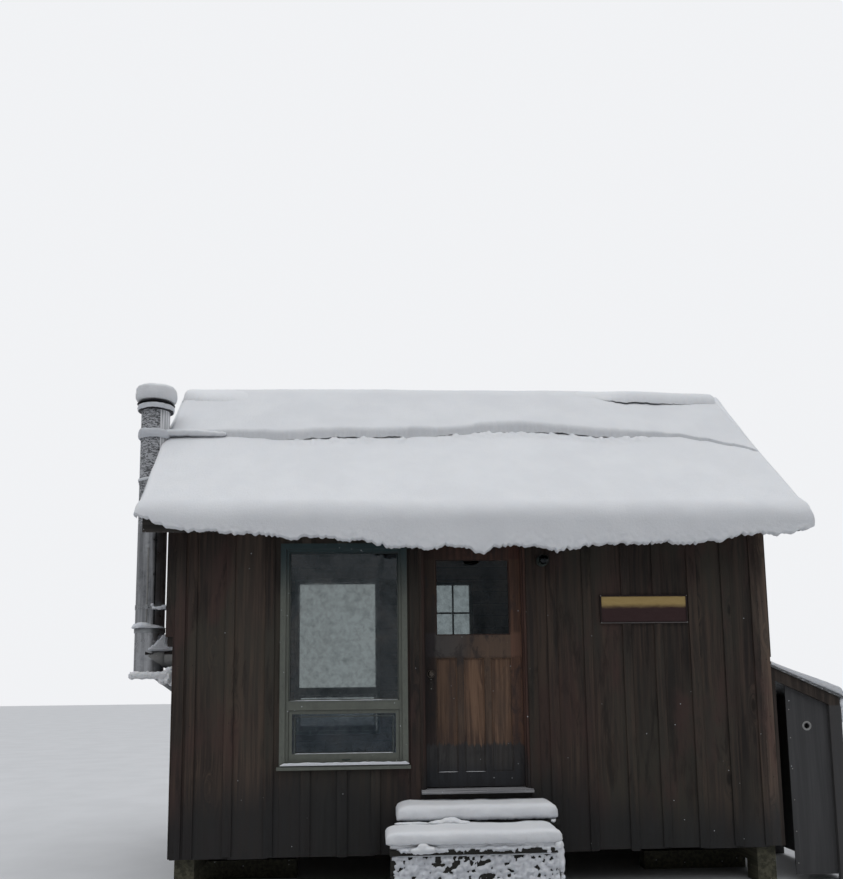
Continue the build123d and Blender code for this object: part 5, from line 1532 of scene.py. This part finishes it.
def spinSnow(name, profile, seed, rough):  # round the flue: (radius, z) pairs from axis to axis, or of a ring
    turns = 96
    if profile[0][0] > 0:
        profile = profile + profile[:1]
    rows = len(profile) - 1
    deselect()
    bpy.ops.mesh.primitive_grid_add(x_subdivisions=turns, y_subdivisions=rows, size=1)
    obj = bpy.context.active_object
    obj.name = name
    for vertex in obj.data.vertices:
        angle = 2 * math.pi * (round((vertex.co.x + 0.5) * turns) % turns) / turns
        radius, z = profile[round((vertex.co.y + 0.5) * rows)]
        wave = ripple(math.cos(angle), math.sin(angle), z * 6, 1.6, seed) * rough
        wave += ripple(radius * math.cos(angle), radius * math.sin(angle), z, 30.0, seed + 2) * rough * 0.5
        grown = max(0.0, radius + wave * min(1.0, radius * 20))
        vertex.co = (flueAxis[0] + grown * math.cos(angle), flueAxis[1] + grown * math.sin(angle),
                     z + wave * 0.6)
    bpy.ops.object.mode_set(mode="EDIT")
    bpy.ops.mesh.select_all(action="SELECT")
    bpy.ops.mesh.remove_doubles(threshold=0.00005)
    bpy.ops.mesh.select_all(action="SELECT")
    bpy.ops.mesh.normals_make_consistent(inside=False)
    bpy.ops.object.mode_set(mode="OBJECT")
    return obj


dome = [(0.0, 4.322)]
for k in range(1, 17):
    angle = math.pi / 2 * k / 16
    dome.append((0.180 * math.sin(angle) ** 0.55, 4.250 + 0.072 * math.cos(angle) ** 0.55))
dome += [(0.182, 4.235), (0.182, 4.215), (0.177, 4.195), (0.170, 4.180), (0.160, 4.172), (0.120, 4.1685),
         (0.0, 4.1685)]
capSnow = spinSnow("flueCapSnow", dome, 4, 0.006)
finishSnow(capSnow, "capSnow", replaced=["flue_cap_snow"])
rings = {
    "ringSnow": [(0.112, 4.1205), (0.122, 4.136), (0.142, 4.138), (0.158, 4.126), (0.161, 4.104),
                 (0.157, 4.084), (0.1505, 4.086), (0.1505, 4.1205)],
    "teeSnow": [(0.1255, 2.150), (0.128, 2.172), (0.138, 2.166), (0.150, 2.150), (0.153, 2.140),
                (0.146, 2.134), (0.1255, 2.138)],
    "upperBandSnow": [(0.1255, 3.895), (0.132, 3.905), (0.143, 3.900), (0.149, 3.880), (0.147, 3.850),
                      (0.141, 3.828), (0.133, 3.820), (0.1255, 3.825)],
    "lowerBandSnow": [(0.1255, 3.452), (0.1300, 3.458), (0.1345, 3.450), (0.1350, 3.438), (0.1315, 3.430),
                      (0.1295, 3.4485)],
}
for name, profile in rings.items():
    ring = spinSnow(name, profile, 3 + len(name), 0.009)
    if name == "teeSnow":  # heaped up on the near left of the collar, thin on the right
        for vertex in ring.data.vertices:
            aside, ahead = vertex.co.x - flueAxis[0], vertex.co.y - flueAxis[1]
            heaped = 0.5 + 0.5 * math.cos(math.atan2(ahead, aside) + 2.1)
            reach = math.hypot(aside, ahead)
            kept = (flue["radius"] + (reach - flue["radius"]) * (0.35 + 0.75 * heaped)) / reach
            vertex.co = (flueAxis[0] + aside * kept, flueAxis[1] + ahead * kept,
                         2.130 + (vertex.co.z - 2.136) * (0.15 + 1.15 * heaped ** 2))
    finishSnow(ring, "crust")
deselect()
bpy.ops.mesh.primitive_cylinder_add(vertices=72, radius=flue["radius"] + 0.0065, depth=0.040,
                                    location=(flueAxis[0], flueAxis[1], 2.108))
collar = bpy.context.active_object
collar.name = "teeCollar"
addBevel(collar, 0.003, 2)
finishPiece(collar, "bracket", "flue_steel")

draw = random.Random(14)
barPath = [(-2.71, -0.915, 3.880), (-2.60, -0.903, 3.886), (-2.48, -0.896, 3.888), (-2.36, -0.890, 3.884),
           (-2.27, -0.884, 3.880), (-2.19, -0.878, 3.880)]
bar = smoothCurve(barPath, 7)
blobs = []
for number, point in enumerate(bar):
    size = 0.036 - 0.012 * (number / len(bar)) ** 2 + draw.uniform(-0.002, 0.002)
    blobs.append((point, (size * 1.2, size, size * draw.uniform(0.95, 1.05))))
barSnow = addBlobs("braceSnow", blobs, 0.009, 5, rough=0.007, grain=0.05, seed=3, tumble=False)
finishSnow(barSnow, "snow")

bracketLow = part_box("flue_wall_supports")[0]
pile = [((-2.752, -1.006, 2.326), (0.018, 0.014, 0.018)), ((-2.728, -1.008, 2.300), (0.030, 0.016, 0.012)),
        ((-2.690, -1.000, 2.300), (0.034, 0.024, 0.018)), ((-2.655, -0.985, 2.308), (0.034, 0.030, 0.022)),
        ((-2.620, -0.965, 2.318), (0.034, 0.034, 0.020)), ((-2.560, -0.945, 2.330), (0.060, 0.034, 0.020))]
bracketSnow = addBlobs("bracketSnow", pile, 0.006, 3, rough=0.006, grain=0.03, seed=5, tumble=False)
finishSnow(bracketSnow, "crust")
sleeve = {"tip": -2.812, "start": -2.650, "end": cabin["left"] - 0.0225, "radius": 0.0785}
sections = []
for k in range(27):  # a saddle on the front of the tee widens into the sleeve of the branch
    share = min(1.0, k / 18)
    x = sleeve["tip"] + (sleeve["start"] - sleeve["tip"]) * share
    if k > 18:
        x = sleeve["start"] + (sleeve["end"] - sleeve["start"]) * (k - 18) / 8
    radius = 0.010 + (sleeve["radius"] - 0.010) * share ** 0.8
    y = flueAxis[1] - 0.110 * (1 - share) ** 0.7
    z = branchHeight + 0.030 * (1 - share)
    sections.append([(x, y + radius * math.cos(2 * math.pi * t / 40),
                      z + radius * math.sin(2 * math.pi * t / 40))
                     for t in range(40)])
branchSleeve = loftSections("branchSleeve", sections)
finishPiece(branchSleeve, "sleeve", "flue_steel", smooth=40)
band = []
for k in range(15):  # painted shadow: a dark band over the top of the sleeve, where it lies in shade under the snow
    x = -2.800 + (sleeve["end"] + 2.800) * k / 14
    arc = [math.radians(28 + 124 * t / 16) for t in range(17)]
    inner, outer = sleeve["radius"] - 0.006, sleeve["radius"] + 0.004
    y = flueAxis[1] - 0.070 * max(0.0, 1 - k / 6)
    band.append([(x, y + outer * math.cos(a), branchHeight + outer * math.sin(a)) for a in arc]
                + [(x, y + inner * math.cos(a), branchHeight + inner * math.sin(a)) for a in reversed(arc)])
branchShadowBand = loftSections("branchShadowBand", band)
finishPiece(branchShadowBand, "nail", "flue_steel", smooth=40)
branchTop = branchHeight + 0.082
pile = []
for k in range(16):  # a bank on the sleeve that peaks near the wall and thins out towards the pipe
    x = -2.762 + 0.0118 * k
    peak = branchTop + 0.004 + 0.120 * k / 9 if k < 10 else branchTop + 0.024
    z = branchTop
    while z < peak:
        width = max(0.028, 0.056 - 0.20 * (z - branchTop))
        pile.append(((x, flueAxis[1] - 0.055 * (1 - k / 15), z),
                     (0.026, width + 0.045 * (1 - k / 15), 0.022)))
        z += 0.022
branchSnow = addBlobs("branchSnow", pile, 0.007, 3, rough=0.005, grain=0.03, seed=6, tumble=False)
finishSnow(branchSnow, "crust")
shelf = {"front": bracketLow.y, "top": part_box("flue_tee")[0].z, "left": bracketLow.x}
pile = []
for k in range(14):  # a ridge of snow along the front of the shelf, heaped up against the wall
    x = shelf["left"] + 0.030 + 0.022 * k
    z = shelf["top"] - 0.030 + draw.uniform(-0.004, 0.004)
    pile.append(((x, shelf["front"] - 0.004, z), (0.034, 0.034, 0.032)))
for _ in range(34):
    x = draw.uniform(-2.655, -2.500)
    z = draw.uniform(1.650, 1.700 + 0.090 * (1 - abs(x + 2.575) / 0.09))
    pile.append(((x, shelf["front"] - 0.006 + draw.uniform(-0.012, 0.020), z), (0.026, 0.034, 0.024)))
shelfSnow = addBlobs("shelfSnow", pile, 0.0065, 2, rough=0.012, grain=0.022, seed=7)
finishSnow(shelfSnow, "capSnow")

addBoxPiece("flueSeam", [((flueAxis[0] - 0.007, flueAxis[1] - flue["radius"] - 0.0035, flueLow.z + 0.004),
                          (flueAxis[0] + 0.007, flueAxis[1] - flue["radius"] + 0.004, 2.830))],
            "sleeve", "flue_steel", bevel=0.0025)
addBoxPiece("bandClamps", [((flueAxis[0] - 0.020, flueAxis[1] - 0.150, z - 0.010),
                            (flueAxis[0] + 0.020, flueAxis[1] - 0.127, z + 0.010)) for z in flue["bands"]],
            "bracket", "flue_steel", bevel=0.003)
addPins("bandBolts", [(flueAxis[0], flueAxis[1] - 0.139, z) for z in flue["bands"]], 0.0045, 0.062, "bracket",
        "flue_steel", axis="X")
clamps = gather("branchClamps", [(bpy.ops.mesh.primitive_cylinder_add, {
    "vertices": 64, "radius": radius, "depth": 0.009, "rotation": (0, math.radians(90), 0),
    "location": (x, flueAxis[1], branchHeight),
}) for x, radius in ((-2.655, 0.0815), (-2.520, 0.0815), (-2.508, 0.0800))])
addBevel(clamps, 0.002, 2)
finishPiece(clamps, "bracket", "flue_steel")
print("flue done")


# Lean-to: snow on its roof, nails and the worn ring round the hole of the front panel
leanSnowLow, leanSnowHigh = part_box("leanto_snow")
lean = {
    "pitch": math.radians(24.6),
    "high": leanRoof[1].z,
    "wall": cabin["right"],
    "end": leanRoof[1].x,
    "front": leanSnowLow.y,
    "back": leanSnowHigh.y,
    "face": leanLow.y + 0.038,
    "hole": (2.7385, 1.245),
}


def leanTop(x):
    return lean["high"] - (x - lean["wall"]) * math.tan(lean["pitch"])


sections = []
columns = 46
for i in range(columns + 1):
    x = lean["wall"] + 0.002 + (lean["end"] + 0.006 - lean["wall"]) * i / columns
    thick = 0.026 + 0.042 * step(0.0, 1.0, i / columns)
    thick *= 1 - 0.75 * max(0.0, 1 - (columns - i) / 3) ** 2
    section = []
    for k in range(9):
        angle = math.pi * k / 8 / 2
        y = lean["front"] - 0.010 + thick * 0.6 * (1 - math.sin(angle)) + 0.004 * ripple(x, angle, 0, 12.0, 3)
        section.append((x, y, leanTop(x) + thick * (1 - math.cos(angle)) * 0.98 + 0.0006))
    for k in range(1, 40):
        y = lean["front"] + 0.02 + (lean["back"] - lean["front"] - 0.02) * k / 40
        lift = 0.004 * ripple(x, y, 0, 3.0, 4) + 0.002 * ripple(x, y, 0, 12.0, 5)
        section.append((x, y, leanTop(x) + thick + lift * min(1.0, thick * 30)))
    section.append((x, lean["back"] + 0.006, leanTop(x) + 0.6 * thick))
    section.append((x, lean["back"], leanTop(x) + 0.0006))
    section.append((x, (lean["front"] + lean["back"]) / 2, leanTop(x) + 0.0006))
    sections.append(section)
leanSnow = loftSections("leanRoofSnow", sections)
finishSnow(leanSnow, "snow", replaced=["leanto_snow"])
draw = random.Random(19)
hanging = []
for k in range(16):
    z = leanTop(lean["end"]) - 0.006 - 0.013 * k
    size = 0.024 - 0.0009 * k
    x = lean["end"] - 0.008 + draw.uniform(-0.004, 0.004)
    y = lean["front"] + 0.034 + draw.uniform(-0.006, 0.006)
    hanging.append(((x, y, z), (size, size * 1.3, 0.016)))
for k in range(26):
    hanging.append(((lean["end"] + 0.002,
                     lean["front"] + 0.05 + (lean["back"] - lean["front"] - 0.1) * k / 25,
                     leanTop(lean["end"]) + 0.004 + draw.uniform(-0.012, 0.0)), (0.020, 0.040, 0.026)))
edgeSnow = addBlobs("leanEdgeSnow", hanging, 0.007, 4, rough=0.005, grain=0.03, seed=9)
finishSnow(edgeSnow, "crust")
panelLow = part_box("leanto_panels")[0]
deselect()
bpy.ops.mesh.primitive_torus_add(major_radius=0.031, minor_radius=0.008, major_segments=48, minor_segments=10,
                                 location=(lean["hole"][0], lean["face"], lean["hole"][1]),
                                 rotation=(math.radians(90), 0, 0))
holeRing = bpy.context.active_object
holeRing.name = "holeRing"
holeRing.scale = (1, 1, 0.45)
finishPiece(holeRing, "sleeve", "leanto_panel")
nailSpots = []
for z in (0.15, 0.40, 0.65, 0.90, 1.15, 1.38):
    nailSpots.append((panelLow.x + 0.022, lean["face"] - 0.0004, z))
    nailSpots.append((leanHigh.x - 0.026, lean["face"] - 0.0004, min(z, 1.33)))
addPins("panelNails", nailSpots, 0.0045, 0.0022, "hinge", "leanto_panel")
print("lean-to done")


# Stage, lights and camera
view = {
    "eye": (-0.8637, -8.7078, 1.6654),
    "yaw": math.radians(3.309),
    "pitch": math.radians(7.575),
    "roll": math.radians(-0.659),
    "focal": 880,
    "imageWidth": 843,
    "imageHeight": 879,
    "middle": (421.5, 562),
    "sensor": 36.0,
}
cameraData = bpy.data.cameras.new("camera")
camera = bpy.data.objects.new("camera", cameraData)
bpy.context.scene.collection.objects.link(camera)
cameraData.sensor_width = view["sensor"]
cameraData.lens = view["sensor"] * view["focal"] / view["imageHeight"]
cameraData.shift_x = (view["imageWidth"] / 2 - view["middle"][0]) / view["imageHeight"]
cameraData.shift_y = (view["middle"][1] - view["imageHeight"] / 2) / view["imageHeight"]
cameraData.clip_end = 300
turn = Matrix.Rotation(-view["yaw"], 4, "Z") @ Matrix.Rotation(math.pi / 2 + view["pitch"], 4, "X")
camera.matrix_world = Matrix.Translation(view["eye"]) @ turn @ Matrix.Rotation(view["roll"], 4, "Z")
bpy.context.scene.camera = camera

light = {
    "zenith": 1.50,
    "horizon": 0.04,
    "skyColour": (0.965, 0.98, 1.0),
    "backdrop": (0.88, 0.89, 0.91),
    "reflected": 0.30,
    "throughGlass": 0.30,
    "sun": 0.55,
    "sunSpread": math.radians(70),
    "sunTurn": (math.radians(28), math.radians(-8), 0),
    "floor": (0.62, 0.63, 0.65),
}
deselect()
bpy.ops.mesh.primitive_plane_add(size=120, location=(0, 0, 0))
floor = bpy.context.active_object
floor.name = "floor"
floorMaterial, tree, shader, place = newMaterial("paleFloor")
mottle = spread(tree, noiseAt(tree, place, 1.4, 4.0), 0.3, 0.7, 0.96, 1.02)
floorTone = blendColour(tree, 1.0, grey(tree, mottle), light["floor"], "MULTIPLY")
setInputs(tree, shader, {"Base Color": floorTone, "Roughness": 0.9})
floor.data.materials.append(floorMaterial)

world = bpy.data.worlds.new("softSky")
bpy.context.scene.world = world
world.use_nodes = True
sky = world.node_tree
background = sky.nodes["Background"]
rays = addNode(sky, "ShaderNodeLightPath").outputs
upward = axesOf(sky, addNode(sky, "ShaderNodeTexCoord").outputs["Generated"])[2]
upward = calc(sky, "MAXIMUM", upward, 0.0)
overcast = plus(sky, times(sky, times(sky, upward, upward), light["zenith"]), light["horizon"])
seen = times(sky, rays["Is Glossy Ray"], light["reflected"])
seen = calc(sky, "MAXIMUM", seen, times(sky, rays["Is Transmission Ray"], light["throughGlass"]))
seen = calc(sky, "MAXIMUM", seen, rays["Is Camera Ray"])
direct = calc(sky, "GREATER_THAN", seen, 0.01)
strength = addNode(sky, "ShaderNodeMix", {0: direct, 2: overcast, 3: seen}, data_type="FLOAT").outputs[0]
skyColour = blendColour(sky, direct, light["skyColour"], light["backdrop"])
setInputs(sky, background, {"Color": skyColour, "Strength": strength})

sunData = bpy.data.lights.new("softSun", "SUN")
sunData.energy = light["sun"]
sunData.angle = light["sunSpread"]
sun = bpy.data.objects.new("softSun", sunData)
sun.rotation_euler = light["sunTurn"]
bpy.context.scene.collection.objects.link(sun)

bpy.context.scene.view_settings.view_transform = "Standard"
print("stage, lights and camera done")

bpy.context.view_layer.update()
